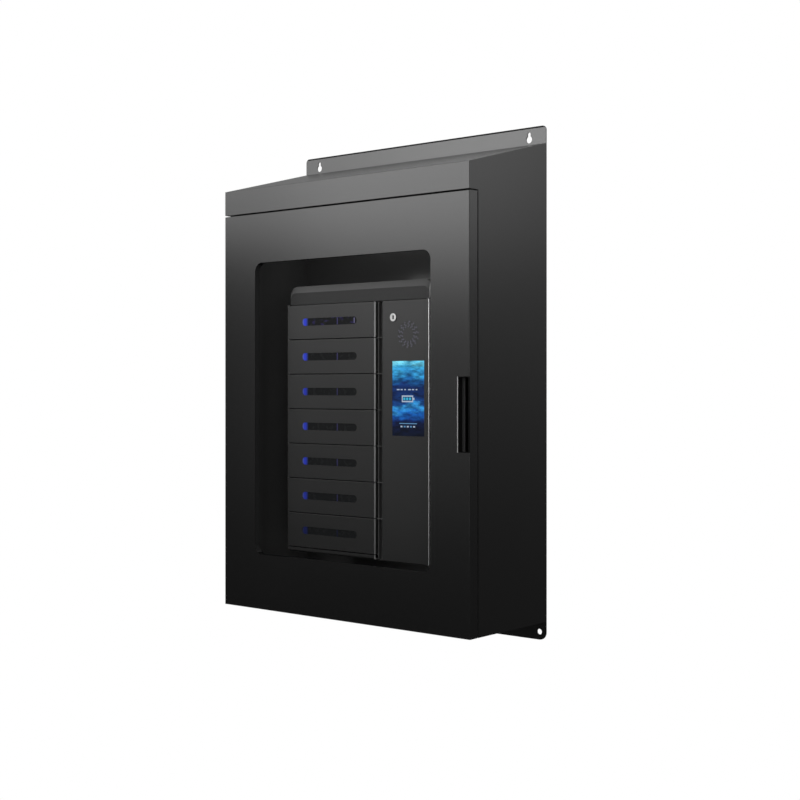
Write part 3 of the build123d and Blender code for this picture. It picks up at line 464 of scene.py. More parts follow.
def key_slot(tree, place):
    """1 inside the key slot of the lock's plug, which is painted dark as painted shade."""
    middle = face_middle(*corners("lock_plug"))
    return inside(tree, place, middle - KEY_SLOT_HALF, middle + KEY_SLOT_HALF)


def head_rim(tree, place):
    """1 on the rim and the side of the lock's head, which are painted dark as painted shade around the
    head.
    """
    apart = new_node(tree, "VectorMath", Vector=stretched(tree, place, (1, 0, 1)))
    apart.operation = "DISTANCE"
    fill(apart.inputs[1], face_middle(*corners("lock_barrel"), 0))
    return math_node(tree, "GREATER_THAN", apart.outputs["Value"], HEAD_SHADE_RADIUS)


# Painted light and shade: the grip's edge is painted bright, its wall dark and its ledge mid-grey, as the
# light falls on them.
GRIP_EDGE_START, GRIP_EDGE_END, GRIP_EDGE_DEPTH = 0.8 * MM, 2.9 * MM, 0.4 * MM
GRIP_LEDGE = 4.2 * MM
GRIP_WALL_LEVEL, GRIP_LEDGE_LEVEL = 0.006, 0.03
GRIP_METAL = 0.4


def grip_painted_light():
    """The pull's grip: a bright satin front edge that is partly a painted highlight, and a dark wall and a
    mid-grey ledge that are painted shade and painted light on one material.
    """
    material, tree, shader, place = new_finish("grip_painted_light", Specular_IOR_Level=0.2)
    low, high = corners("pull_grip")
    edge_low = (low.x + GRIP_EDGE_START, low.y - MM, low.z)
    edge_high = (low.x + GRIP_EDGE_END, low.y + GRIP_EDGE_DEPTH, high.z)
    edge = inside(tree, place, edge_low, edge_high)
    ledge = beyond(tree, place, "X", low.x + GRIP_LEDGE)
    wall_tones = coat_tones(tree, place, GRIP_WALL_LEVEL)
    colour = blend_colours(tree, ledge, wall_tones, coat_tones(tree, place, GRIP_LEDGE_LEVEL))
    brushed = noise(tree, stretched(tree, place, (900, 1, 8)), scale=3.0)
    bright = clouded(tree, brushed, grey(0.3), grey(0.38))
    put(shader, Base_Color=blend_colours(tree, edge, colour, bright))
    put(shader, Metallic=math_node(tree, "MULTIPLY", edge, GRIP_METAL))
    coat_surface(tree, shader, place, roughness=0.4)
    return material


CHIP_DEPTH, POST_DEPTH = 3.1 * MM, 7.9 * MM
PAD_REACH = 0.16


def board_finish():
    """Circuit board: green solder mask with paler tracks, plated pads, black chips and plated posts."""
    material, tree, shader, place = new_finish("board_finish")
    low, high = corners("control_board")
    mask = clouded(tree, noise(tree, place, scale=30.0), (0.006, 0.05, 0.018), (0.01, 0.075, 0.026))
    swap = new_node(tree, "CombineXYZ", X=axis_value(tree, place, "Z"), Y=axis_value(tree, place, "X"))
    tracks = new_node(tree, "TexBrick", Vector=swap.outputs["Vector"], Scale=60.0, Mortar_Size=0.035)
    colour = blend_colours(tree, tracks.outputs["Fac"], mask, (0.02, 0.14, 0.045))
    holes = new_node(tree, "TexVoronoi", Vector=place, Scale=240.0)
    pads = math_node(tree, "LESS_THAN", holes.outputs["Distance"], PAD_REACH)
    colour = blend_colours(tree, pads, colour, (0.55, 0.48, 0.3))
    chips = math_node(tree, "LESS_THAN", axis_value(tree, place, "Y"), low.y + CHIP_DEPTH)
    colour = blend_colours(tree, chips, colour, (0.01, 0.01, 0.011))
    posts = beyond(tree, place, "Y", high.y - POST_DEPTH)
    colour = blend_colours(tree, posts, colour, (0.5, 0.5, 0.48))
    put(shader, Base_Color=colour)
    vary_sheen(tree, shader, noise(tree, place, scale=200.0), roughness=0.36, reach=0.06)
    return material


# The picture on the screen is plain and generic: drifting light, a charge symbol, bars and dots.
# The light's colours run from the foot of the screen to its head.
SCREEN_TONES = (
    (0.0, (0.002, 0.004, 0.014)), (0.12, (0.003, 0.006, 0.03)), (0.2, (0.004, 0.02, 0.11)),
    (0.28, (0.005, 0.09, 0.36)), (0.345, (0.03, 0.25, 0.56)), (0.40, (0.006, 0.05, 0.2)),
    (0.50, (0.004, 0.018, 0.09)), (0.64, (0.004, 0.022, 0.11)), (0.74, (0.008, 0.1, 0.30)),
    (0.82, (0.03, 0.27, 0.54)), (0.9, (0.045, 0.36, 0.6)), (1.0, (0.16, 0.57, 0.7)),
)
PALE, DIM, NAVY, CYAN = (0.36, 0.44, 0.56), (0.1, 0.24, 0.42), (0.004, 0.02, 0.1), (0.04, 0.4, 0.6)
# Bars on the picture as (left, right, bottom, top, tone), in shares of the screen's width and height.
BATTERY = [(0.3, 0.66, 0.45, 0.54, PALE), (0.33, 0.63, 0.468, 0.522, NAVY), (0.66, 0.7, 0.48, 0.51, PALE)]
CELLS = [(0.35 + 0.09 * step, 0.415 + 0.09 * step, 0.478, 0.512, CYAN) for step in range(3)]
DASHES = [
    (0.14 + 0.12 * step, 0.23 + 0.12 * step - 0.02 * (step % 3), 0.61, 0.625, PALE) for step in range(6)
]
RULE = [(0.22, 0.78, 0.16, 0.172, DIM)]
DOTS = [
    (0.26 + 0.1 * step, 0.32 + 0.1 * step, 0.115, 0.135, DIM if step % 2 else PALE) for step in range(5)
]
GLASS_FACE = 0.5 * MM
DRIFT_HEIGHT, DRIFT_SLANT = 0.42, -0.05


def screen_finish():
    """Touch screen: glass over a lit picture."""
    material, tree, shader, place = new_finish("screen_finish")
    low, high = corners("touch_glass")
    width, height = high.x - low.x, high.z - low.z
    across = spread(tree, axis_value(tree, place, "X"), low.x, high.x)
    rise = spread(tree, axis_value(tree, place, "Z"), low.z, high.z)
    drift = noise(tree, stretched(tree, place, (18, 1, 48)), scale=1.0, detail=5.0, roughness=0.6)
    slant = math_node(tree, "MULTIPLY_ADD", across, DRIFT_SLANT, rise)
    bent = math_node(tree, "MULTIPLY_ADD", spread(tree, drift, 0.0, 1.0, -0.5, 0.5), DRIFT_HEIGHT, slant)
    ripple = noise(tree, stretched(tree, place, (44, 1, 130)), scale=1.0, detail=4.0, roughness=0.6)
    colour = scaled(tree, ramp(tree, bent, SCREEN_TONES), spread(tree, ripple, 0.36, 0.64, 0.5, 1.5))
    for left, right, bottom, top, tone in BATTERY + CELLS + DASHES + RULE + DOTS:
        bar_low = (low.x + left * width, low.y - MM, low.z + bottom * height)
        bar_high = (low.x + right * width, low.y + MM, low.z + top * height)
        colour = blend_colours(tree, inside(tree, place, bar_low, bar_high), colour, tone)
    face = math_node(tree, "LESS_THAN", axis_value(tree, place, "Y"), low.y + GLASS_FACE)
    put(shader, Emission_Color=blend_colours(tree, face, grey(0.0), colour), Emission_Strength=1.0)
    put(shader, Base_Color=(0.003, 0.004, 0.006), Specular_IOR_Level=0.1)
    vary_sheen(tree, shader, noise(tree, place, scale=60.0), roughness=0.19, reach=0.03)
    return material


# The vent slots repeat at twice these distances, and reach this far to each side of a line's middle. They
# are painted dark on a closed face, as painted shade for the openings.
VENT_ROW, VENT_COLUMN = 4 * MM, 11 * MM
VENT_HALF_HEIGHT, VENT_HALF_WIDTH = 1.1 * MM, 8.5 * MM
VENT_SIDE, VENT_FOOT, VENT_HEAD = 12 * MM, 15 * MM, 50 * MM


def supply_finish():
    """Galvanised supply case with rows of vent slots painted dark on its front, as painted shade for the
    openings.
    """
    material, tree, shader, place = new_finish("supply_finish", Metallic=0.9)
    low, high = corners("power_supply")
    spangle = new_node(tree, "TexVoronoi", Vector=place, Scale=110.0)
    metal = ramp(tree, spangle.outputs["Distance"], ((0.1, grey(0.52)), (0.7, grey(0.36))))
    rows = math_node(tree, "PINGPONG", axis_value(tree, place, "Z"), VENT_ROW)
    columns = math_node(tree, "PINGPONG", axis_value(tree, place, "X"), VENT_COLUMN)
    in_row = math_node(tree, "LESS_THAN", rows, VENT_HALF_HEIGHT)
    slot = math_node(tree, "MULTIPLY", in_row, math_node(tree, "LESS_THAN", columns, VENT_HALF_WIDTH))
    field_low = (low.x + VENT_SIDE, low.y - MM, low.z + VENT_FOOT)
    field_high = (high.x - VENT_SIDE, low.y + MM, high.z - VENT_HEAD)
    vents = math_node(tree, "MULTIPLY", slot, inside(tree, place, field_low, field_high))
    put(shader, Base_Color=blend_colours(tree, vents, metal, grey(0.01)))
    vary_sheen(tree, shader, noise(tree, place, scale=90.0), roughness=0.44, reach=0.06)
    return material


FINISHES = {
    "cabinet_black": cabinet_coat,
    "locker_black": case_coat,
    "smoked_window": smoked,
    "rubber": rubber,
    "zinc_steel": zinc,
    "black_plastic": black_plastic,
    "lock_metal": nickel,
    "bright_grip": grip_painted_light(),
    "circuit_board": board_finish(),
    "supply_case": supply_finish(),
    "screen_glass": screen_finish(),
}
SPECIAL = {
    "front_door": door_coat,
    "back_plate": plate_coat,
    "left_side_panel": side_painted_light(),
    "right_side_panel": shell_coat,
    "bottom_panel": inside_coat,
    "door_frame": inside_coat,
    "locker_cap": cap_coat,
    "locker_base": leaf_coat,
    "centre_wall": channel_coat,
    "service_door": service_coat,
    "pull_pocket": painted_shade_plastic,
    "lock_plug": nickel_painted_shade("plug_finish", key_slot),
    "lock_barrel": nickel_painted_shade("head_finish", head_rim),
    "bay_window_1": window_painted_reflections,
}
for number in BAYS:
    SPECIAL[f"bay_door_{number}"] = leaf_coat

for subpart in frame["record"]["subparts"]:
    node = nodes[subpart["node"]]
    node.data.materials.clear()
    node.data.materials.append(SPECIAL.get(subpart["node"], FINISHES[subpart["material_slot"]]))


# ==== Ways of making a piece ====

def start():
    """Object mode with nothing selected."""
    if bpy.context.object and bpy.context.object.mode != "OBJECT":
        bpy.ops.object.mode_set(mode="OBJECT")
    bpy.ops.object.select_all(action="DESELECT")


def edit(piece):
    """Edit mode on one piece, with all of it selected."""
    start()
    piece.select_set(True)
    bpy.context.view_layer.objects.active = piece
    bpy.ops.object.mode_set(mode="EDIT")
    bpy.ops.mesh.select_mode(type="FACE")
    bpy.ops.mesh.select_all(action="SELECT")


def pick_faces(piece, test):
    """In edit mode, select only the faces whose middle and normal pass a test."""
    bpy.ops.mesh.select_all(action="DESELECT")
    mesh = bmesh.from_edit_mesh(piece.data)
    for face in mesh.faces:
        face.select_set(test(face.calc_center_median(), face.normal))
    bmesh.update_edit_mesh(piece.data)


SMOOTH_BELOW = math.radians(35)


def close_up(piece):
    """Back to object mode, with normals outwards and smooth shading."""
    bpy.ops.mesh.select_all(action="SELECT")
    bpy.ops.mesh.normals_make_consistent(inside=False)
    bpy.ops.object.mode_set(mode="OBJECT")
    bpy.ops.object.shade_smooth_by_angle(angle=SMOOTH_BELOW)
    return piece


def new_piece(name):
    """The primitive just added, with its place in its mesh."""
    piece = bpy.context.object
    piece.name = name
    bpy.ops.object.transform_apply(location=True, rotation=True, scale=True)
    return piece


def slab(name, low, high, rounding, steps=2):
    """A block between two corners with rounded edges."""
    start()
    low, high = Vector(low), Vector(high)
    bpy.ops.mesh.primitive_cube_add(size=1, location=(low + high) / 2, scale=high - low)
    piece = new_piece(name)
    edit(piece)
    bpy.ops.mesh.bevel(offset=rounding, segments=steps, affect="EDGES")
    return close_up(piece)


def turned(name, middle, profile, direction=OUT, sides=32):
    """A turned piece about a line through middle.

    The profile is (distance along the line, radius), from its foot up.
    """
    start()
    middle, direction = Vector(middle), Vector(direction)
    foot, radius = profile[0]
    turn = direction.to_track_quat("Z", "Y").to_euler()
    bpy.ops.mesh.primitive_circle_add(
        vertices=sides, radius=radius, fill_type="NGON", location=middle + direction * foot, rotation=turn
    )
    piece = new_piece(name)
    edit(piece)
    for (before, old), (after, new) in zip(profile, profile[1:]):
        bpy.ops.mesh.extrude_region_move(TRANSFORM_OT_translate={"value": direction * (after - before)})
        bpy.ops.transform.resize(value=(new / old,) * 3, center_override=middle + direction * after)
    return close_up(piece)


def cut(piece, cutter):
    """Take the cutter's shape out of a piece."""
    start()
    piece.select_set(True)
    bpy.context.view_layer.objects.active = piece
    modifier = piece.modifiers.new("cut", "BOOLEAN")
    modifier.operation = "DIFFERENCE"
    modifier.object = cutter
    bpy.ops.object.modifier_apply(modifier=modifier.name)
    bpy.data.objects.remove(cutter)
    return piece


def stepped(piece, direction, border, rise):
    """Inset the flat face that looks along a direction and move it by a rise, in where that is negative."""
    edit(piece)
    pick_faces(piece, lambda middle, normal: normal.dot(direction) > 0.99)
    bpy.ops.mesh.inset(thickness=border)
    bpy.ops.mesh.extrude_region_move(TRANSFORM_OT_translate={"value": direction * rise})
    return close_up(piece)


def copies(piece, shifts):
    """The piece and a copy of it, each with its own mesh, at every shift."""
    made = [piece]
    for shift in shifts:
        twin = piece.copy()
        twin.data = piece.data.copy()
        bpy.context.scene.collection.objects.link(twin)
        twin.data.transform(Matrix.Translation(shift))
        made.append(twin)
    return made


def coloured(finish, *pieces):
    """Give pieces their finish."""
    for piece in pieces:
        piece.data.materials.clear()
        piece.data.materials.append(finish)
    return pieces[0] if len(pieces) == 1 else list(pieces)


def joined(name, pieces):
    """Several pieces as one."""
    start()
    for piece in pieces:
        piece.select_set(True)
    bpy.context.view_layer.objects.active = pieces[0]
    bpy.ops.object.join()
    pieces[0].name = name
    return pieces[0]


def fit(piece, body, slot, *stands_for):
    """The piece moves with a body and may stand for CAD nodes, which it hides. Its slot is not used."""
    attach(piece, body)
    if stands_for:
        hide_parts(*stands_for)


def solids(node):
    """Lowest and highest corner of each separate piece in a CAD node."""
    mesh = bmesh.new()
    mesh.from_mesh(nodes[node].data)
    bmesh.ops.remove_doubles(mesh, verts=mesh.verts, dist=1e-6)
    found, seen = [], set()
    for first in mesh.verts:
        if first in seen:
            continue
        seen.add(first)
        group, waiting = [], [first]
        while waiting:
            vertex = waiting.pop()
            group.append(vertex.co.copy())
            near = [edge.other_vert(vertex) for edge in vertex.link_edges]
            waiting += [other for other in near if other not in seen]
            seen.update(near)
        found.append((Vector(map(min, zip(*group))), Vector(map(max, zip(*group)))))
    mesh.free()
    return found


def spaced(piece, places):
    """Copies that put a piece, made at the first place, at the others too, as one list."""
    return copies(piece, [Vector(place) - Vector(places[0]) for place in places[1:]])


def row(piece, step, count):
    """A piece and its copies, so many in all, at equal steps."""
    return copies(piece, [Vector(step) * number for number in range(1, count)])


def corner_places(low, high, depth, inset):
    """Places at one depth, in from the four corners of a face."""
    across, up = (low.x + inset, high.x - inset), (low.z + inset, high.z - inset)
    return [Vector((x, depth, z)) for x in across for z in up]


def block(name, corner, place, size, rounding):
    """A rounded block at a place from a given corner, with its place, size and rounding in millimetres."""
    low = Vector(corner) + Vector(place) * MM
    return slab(name, low, low + Vector(size) * MM, rounding * MM)


def in_mm(*steps):
    """A profile given in millimetres, as (distance, radius) in metres."""
    return [(distance * MM, radius * MM) for distance, radius in steps]


# The head's outline and its cross recess, in shares of its height and its radius.
PAN_DOME = ((0, 1.0), (0.45, 1.0), (0.72, 0.9), (0.9, 0.68), (1.0, 0.36))
CROSS_ARM, CROSS_WIDTH, CROSS_DEPTH, CROSS_ROUNDING = 0.52, 0.13, 0.5, 0.026
# Radius and height of the screws' heads.
SMALL_HEAD, MIDDLE_HEAD = (2.6 * MM, 1.8 * MM), (3 * MM, 2 * MM)
STOUT_HEAD, FLAT_HEAD = (3.2 * MM, 2.2 * MM), (4 * MM, 1.6 * MM)


def pan_screw(name, place, radius, height, direction=OUT):
    """A pan-head screw with a cross recess, along the depth."""
    head = turned(name, place, [(height * rise, radius * share) for rise, share in PAN_DOME], direction)
    top = Vector(place) + direction * height
    for wide, tall in ((CROSS_ARM, CROSS_WIDTH), (CROSS_WIDTH, CROSS_ARM)):
        reach = Vector((wide * radius, CROSS_DEPTH * height, tall * radius))
        head = cut(head, slab("recess", top - reach, top + reach, CROSS_ROUNDING * radius, 1))
    return coloured(zinc, head)


# ==== Lights in the bay doors' windows ====

GLOW_BLUE, GLOW_PALE = (0.02, 0.036, 0.46), (0.075, 0.10, 0.32)
GUIDE_TONES = (
    (0.0, (0.03, 0.03, 0.07)), (0.2, GLOW_PALE),
    (0.42, GLOW_BLUE), (0.7, GLOW_BLUE), (1.0, (0.012, 0.02, 0.09)),
)
LINE_EDGE, LINE_TONE, STANDBY_TONE = (0.012, 0.01, 0.05), (0.042, 0.036, 0.10), (0.105, 0.098, 0.17)
# Levels of bays 1 to 7.
LIGHT_LEVELS = (1.05, 1.0, 0.66, 0.74, 0.66, 0.42, 0.07)
SLOT_BORDER, SLOT_CLEARANCE = 6 * MM, 0.2 * MM
GUIDE_LENGTH, GUIDE_RISE, GUIDE_ROUNDING = 16.5 * MM, 0.8 * MM, 0.3 * MM
LINE_RISE, LINE_ROUNDING, LINE_END_GAP = 0.5 * MM, 0.2 * MM, 0.5 * MM
LINE_HALF_WIDTH, STANDBY_HALF_WIDTH = 1.2 * MM, 1.6 * MM
# The lines' places are shares of the slot's length. The standby line is shorter.
LINE_SHARE, STANDBY_SHARE, STANDBY_REACH = 0.646, 0.949, 0.7


def light_guide(number, centre, radius):
    """The guide that glows at the rounded left end of a bay window's slot."""
    reach = radius - SLOT_CLEARANCE
    profile = ((0, reach), (GUIDE_RISE - GUIDE_ROUNDING, reach), (GUIDE_RISE, reach - GUIDE_ROUNDING))
    guide = turned(f"light_guide_{number}", centre, profile, sides=48)
    edit(guide)
    bpy.ops.mesh.bisect(plane_co=centre, plane_no=(1, 0, 0), use_fill=True, clear_outer=True)
    pick_faces(guide, lambda middle, normal: normal.x > 0.9)
    bpy.ops.mesh.extrude_region_move(TRANSFORM_OT_translate={"value": (GUIDE_LENGTH - radius, 0, 0)})
    close_up(guide)
    left, level = centre.x - radius, LIGHT_LEVELS[number - 1]
    coloured(lit_plastic(f"guide_glow_{number}", left, left + GUIDE_LENGTH, GUIDE_TONES, level), guide)
    fit(guide, f"bay_door_{number}", "smoked_window")


def light_line(name, number, middle, half_width, half_height, tone):
    """A lit line across a bay window's slot."""
    low = middle - Vector((half_width, LINE_RISE, half_height))
    high = middle + Vector((half_width, 0, half_height))
    strip = slab(name, low, high, LINE_ROUNDING)
    stops = ((0.0, LINE_EDGE), (0.55, tone), (1.0, tone))
    coloured(lit_plastic(f"{name}_glow", low.x, high.x, stops, LIGHT_LEVELS[number - 1]), strip)
    fit(strip, f"bay_door_{number}", "smoked_window")


for number in BAYS:
    low, high = corners(f"bay_window_{number}")
    slot_length = high.x - low.x - 2 * SLOT_BORDER
    radius = (high.z - low.z) / 2 - SLOT_BORDER
    reach = radius - SLOT_CLEARANCE
    end = Vector((low.x + SLOT_BORDER, low.y, (low.z + high.z) / 2))
    light_guide(number, end + Vector((radius, 0, 0)), radius)
    place = end + Vector((LINE_SHARE * slot_length, 0, 0))
    light_line(f"light_line_{number}", number, place, LINE_HALF_WIDTH, reach - LINE_END_GAP, LINE_TONE)
    if number == 1:
        place = end + Vector((STANDBY_SHARE * slot_length, 0, 0))
        light_line("standby_line", number, place, STANDBY_HALF_WIDTH, STANDBY_REACH * reach, STANDBY_TONE)


# ==== Rungs in the channel and screws in the locker's back ====

WALL_SHEET, CHANNEL_WIDTH = 2.5 * MM, 20 * MM
RUNG_SETBACK, RUNG_DEPTH, RUNG_HALF_HEIGHT = 3 * MM, 6 * MM, 0.6 * MM
RUNGS = len(BAYS) - 1
rung_left, rung_front = corners("centre_wall")[0].x + WALL_SHEET, case_low.y + RUNG_SETBACK
first_gap = (corners("bay_door_1")[0].z + corners("bay_door_2")[1].z) / 2
bay_pitch = corners("bay_door_1")[0].z - corners("bay_door_2")[0].z
rung = slab(
    "rung",
    (rung_left, rung_front, first_gap - RUNG_HALF_HEIGHT),
    (rung_left + CHANNEL_WIDTH, rung_front + RUNG_DEPTH, first_gap + RUNG_HALF_HEIGHT),
    rounding=0.2 * MM,
)
rungs = row(rung, (0, 0, -bay_pitch), RUNGS)
fit(joined("channel_rungs", coloured(channel_coat, *rungs)), "cabinet", "locker_black")

SCREW_RADIUS, SCREW_HEIGHT, SHANK_RADIUS, SCREW_ROWS = 4 * MM, 2.6 * MM, 2 * MM, 4
screw_low, screw_high = corners("locker_screws")
seat_y = screw_low.y + SCREW_HEIGHT
screw_top = screw_high.z - SCREW_RADIUS
screw_pitch = (screw_top - screw_low.z - SCREW_RADIUS) / (SCREW_ROWS - 1)
places = [
    (x, seat_y, screw_top - screw_pitch * step)
    for x in (screw_low.x + SCREW_RADIUS, screw_high.x - SCREW_RADIUS) for step in range(SCREW_ROWS)
]
screw = pan_screw("screw", places[0], SCREW_RADIUS, SCREW_HEIGHT)
stepped(screw, BACK, SCREW_RADIUS - SHANK_RADIUS, screw_high.y - seat_y)
fit(joined("back_screws", spaced(screw, places)), "cabinet", "zinc_steel", "locker_screws")


# ==== Sound holes, speaker and lock in the service door ====

speaker_low, speaker_high = corners("speaker")
speaker_face = face_middle(speaker_low, speaker_high)
# Radii of the rings of sound holes, in millimetres.
SOUND_RINGS = (15.5, 19.0, 22.5, 26.0)
SOUND_HOLES = 28
CLOTH_BED = 0.7 * MM
TUFT_OUTLINE = in_mm((0, 0.84), (0.3, 0.84), (0.6, 0.5))
BASKET_OUTLINE = in_mm((0, 29), (2.2, 29), (2.8, 28.4), (3.2, 26.5), (4, 25.2), (9, 18.6), (9.6, 17.6))
MAGNET_OUTLINE = in_mm(
    (9.5, 17.6), (10.2, 18.2), (16.6, 18.2), (17.2, 17.6), (17.2, 15.4), (19.4, 15.4), (20, 14.8)
)

cloth_middle = face_middle(speaker_low, speaker_high, service_low.y + CLOTH_BED)
places = []
for ring, radius in enumerate(SOUND_RINGS):
    for step in range(SOUND_HOLES):
        turn = math.tau * (step + (ring % 2) / 2) / SOUND_HOLES
        places.append(cloth_middle + Vector((math.cos(turn), 0, math.sin(turn))) * radius * MM)
tufts = spaced(turned("sound_tuft", places[0], TUFT_OUTLINE, sides=12), places)
# Every other tuft is pale cloth, as a painted highlight, and the rest near-black plastic, as painted shade.
for number, tuft in enumerate(tufts):
    coloured(hole_cloth_painted_light if (number // SOUND_HOLES + number) % 2 else painted_shade_plastic, tuft)
fit(joined("hole_cloth_painted_light", tufts), "service_door", "black_plastic")

basket = coloured(black_plastic, turned("basket", speaker_face, BASKET_OUTLINE, BACK, 64))
magnet = coloured(galvanised, turned("magnet", speaker_face, MAGNET_OUTLINE, BACK, 64))
tab_corner = (speaker_face.x, speaker_low.y, speaker_low.z)
tab = block("tab", tab_corner, place=(-9, 3, 1.6), size=(3.2, 8, 0.8), rounding=0.2)
tabs = coloured(brass, *row(tab, (14.8 * MM, 0, 0), 2))
fit(joined("speaker_unit", [basket, magnet] + tabs), "service_door", "black_plastic", "speaker")

plug_face = face_middle(*corners("lock_plug"))
shutter = block("key_shutter", plug_face, place=(-2, -0.15, -4), size=(4, 0.45, 8), rounding=0.2)
stepped(shutter, OUT, border=0.45 * MM, rise=-0.35 * MM)
fit(coloured(painted_shade_plastic, shutter), "lock_cylinder", "lock_metal")


# ==== Fittings on the electrics ====

# Some blocks start this far inside the face that carries them, in millimetres.
SEAT = 0.2
display_low, display_high = corners("display_module")
display_corner = (display_low.x, display_high.y, display_low.z)
shield = block("shield_can", display_corner, place=(16, -SEAT, 52), size=(44, 3 + SEAT, 44), rounding=0.6)
coloured(galvanised, stepped(shield, BACK, border=3 * MM, rise=-0.6 * MM))
socket = block("socket", display_corner, place=(20, -SEAT, 16), size=(16, 6 + SEAT, 8), rounding=0.5)
stepped(socket, BACK, border=1.2 * MM, rise=-4 * MM)
sockets = coloured(pale_plastic, *row(socket, (22 * MM, 0, 0), 3))
places = corner_places(display_low, display_high, display_high.y, inset=6 * MM)
display_screw = pan_screw("display_screw", places[0], *SMALL_HEAD, BACK)
display_screws = spaced(display_screw, places)
fit(joined("display_fittings", [shield] + sockets + display_screws), "service_door", "black_plastic")

CHIP_HEIGHT = 9.6 * MM
CAPACITOR_OUTLINE = in_mm(
    (0, 5), (1.2, 5), (1.6, 4.7), (2.0, 5), (12.8, 5), (13.6, 4.6), (13.6, 3.9), (13.3, 3.7)
)
# How far the capacitors lie below the board's top and in from its right, in millimetres.
CAPACITOR_DROPS, CAPACITOR_INSET = (26, 40, 54, 92), 12
board_low, board_high = corners("control_board")
board_face = board_high.y - CHIP_HEIGHT
relay_corner = (board_low.x, board_face, board_high.z)
relay = block("relay", relay_corner, place=(5, -12, -30), size=(14, 12, 11), rounding=0.7)
relays = coloured(relay_plastic, *row(relay, (0, 0, -17 * MM), 7))
board_corner = Vector((board_high.x, board_face, board_high.z))
places = [board_corner - Vector((CAPACITOR_INSET, 0, drop)) * MM for drop in CAPACITOR_DROPS]
capacitors = coloured(galvanised, *spaced(turned("capacitor", places[0], CAPACITOR_OUTLINE), places))
header_corner = (board_low.x, board_face, board_low.z)
header = block("header", header_corner, place=(26, -8, 5), size=(15, 8, 7), rounding=0.4)
stepped(header, OUT, border=1 * MM, rise=-5 * MM)
headers = coloured(pale_plastic, *row(header, (18 * MM, 0, 0), 3))
places = corner_places(board_low, board_high, board_face, inset=6 * MM)
board_screws = spaced(pan_screw("board_screw", places[0], *MIDDLE_HEAD), places)
fit(joined("board_parts", relays + capacitors + headers + board_screws), "cabinet", "circuit_board")

TERMINALS = 6
STRIP_INSET, STRIP_DEPTH, STRIP_TOP, STRIP_HEIGHT = 9 * MM, 9 * MM, 8 * MM, 16 * MM
FIN_HALF, FIN_RISE, FIN_FOOT, FIN_MARGIN = 0.7 * MM, 3.5 * MM, 1 * MM, 0.5 * MM
supply_low, supply_high = corners("power_supply")
strip_top = supply_high.z - STRIP_TOP
strip_low = Vector((supply_low.x + STRIP_INSET, supply_low.y - STRIP_DEPTH, strip_top - STRIP_HEIGHT))
strip_high = Vector((supply_high.x - STRIP_INSET, supply_low.y + SEAT * MM, strip_top))
strip = coloured(black_plastic, slab("terminal_strip", strip_low, strip_high, rounding=0.8 * MM))
pitch = (strip_high.x - strip_low.x) / TERMINALS
place = (strip_low.x + pitch / 2, strip_low.y, (strip_low.z + strip_high.z) / 2)
terminals = row(pan_screw("terminal", place, *FLAT_HEAD), (pitch, 0, 0), TERMINALS)
fin_low = (strip_low.x - FIN_HALF, strip_low.y - FIN_RISE, strip_low.z + FIN_MARGIN)
fin_high = (strip_low.x + FIN_HALF, strip_low.y + FIN_FOOT, strip_high.z - FIN_MARGIN)
fins = row(slab("fin", fin_low, fin_high, rounding=0.3 * MM), (pitch, 0, 0), TERMINALS + 1)
coloured(black_plastic, *fins)
fit(joined("supply_terminals", [strip] + terminals + fins), "cabinet", "supply_case")

modules = sorted(solids("charging_modules"), key=lambda box: -box[1].z)
module_low, module_high = modules[0]
GLAND_LENGTH, MODULE_SCREW_INSET = 6 * MM, 5 * MM
NUT_OUTLINE = in_mm((0, 7.6), (3.0, 7.6), (3.5, 7.1))
COLLAR_OUTLINE = in_mm((3.4, 6.2), (5.2, 6.2), (6.0, 5.4))
gland_foot = face_middle(module_low, module_high, module_low.y + GLAND_LENGTH)
gland_nut = coloured(galvanised, turned("gland_nut", gland_foot, NUT_OUTLINE, sides=6))
gland_collar = coloured(black_plastic, turned("gland_collar", gland_foot, COLLAR_OUTLINE))
screw_places = (module_low.x + MODULE_SCREW_INSET, module_high.x - MODULE_SCREW_INSET)
places = [(x, gland_foot.y, gland_foot.z) for x in screw_places]
module_screws = spaced(pan_screw("module_screw", places[0], *SMALL_HEAD), places)
fittings = joined("module_fittings", [gland_nut, gland_collar] + module_screws)
drops = [low - module_low for low, high in modules[1:]]
fit(joined("module_fittings", copies(fittings, drops)), "cabinet", "black_plastic")


# ==== Hinge screws, bumpers and the cable grommet ====

FOOT_SHEET, FOOT_SCREW_INSET, FOOT_SCREW_RISE = 3 * MM, 8 * MM, 6.5 * MM
screws = []
for low, high in solids("front_hinge_brackets"):
    screw_x, middle_z = high.x - FOOT_SCREW_INSET, (low.z + high.z) / 2
    screw_heights = (middle_z - FOOT_SCREW_RISE, middle_z + FOOT_SCREW_RISE)
    places = [(screw_x, high.y - FOOT_SHEET, z) for z in screw_heights]
    screws += spaced(pan_screw("bracket_screw", places[0], *STOUT_HEAD), places)
fit(joined("bracket_screws", screws), "cabinet", "zinc_steel")

LEAF_SHEET, LEAF_SCREW_EDGE = 2 * MM, 5.5 * MM
LEAF_SCREW_INSETS = (7 * MM, 20 * MM)
screws = []
for low, high in solids("front_hinge_leaves"):
    screw_heights = (low.z + LEAF_SCREW_EDGE, high.z - LEAF_SCREW_EDGE)
    places = [(high.x - inset, low.y + LEAF_SHEET, z) for inset in LEAF_SCREW_INSETS for z in screw_heights]
    screws += spaced(pan_screw("leaf_screw", places[0], *MIDDLE_HEAD, BACK), places)
fit(joined("leaf_screws", screws), "front_door", "zinc_steel")

BUMPER_OUTLINE = in_mm((0, 5), (0.9, 5), (1.7, 4.5), (2.3, 3.4), (2.7, 1.7))
domes = []
for low, high in solids("door_bumpers"):
    domes.append(coloured(rubber, turned("bumper", face_middle(low, high, high.y), BUMPER_OUTLINE)))
fit(joined("bumper_domes", domes), "cabinet", "rubber", "door_bumpers")

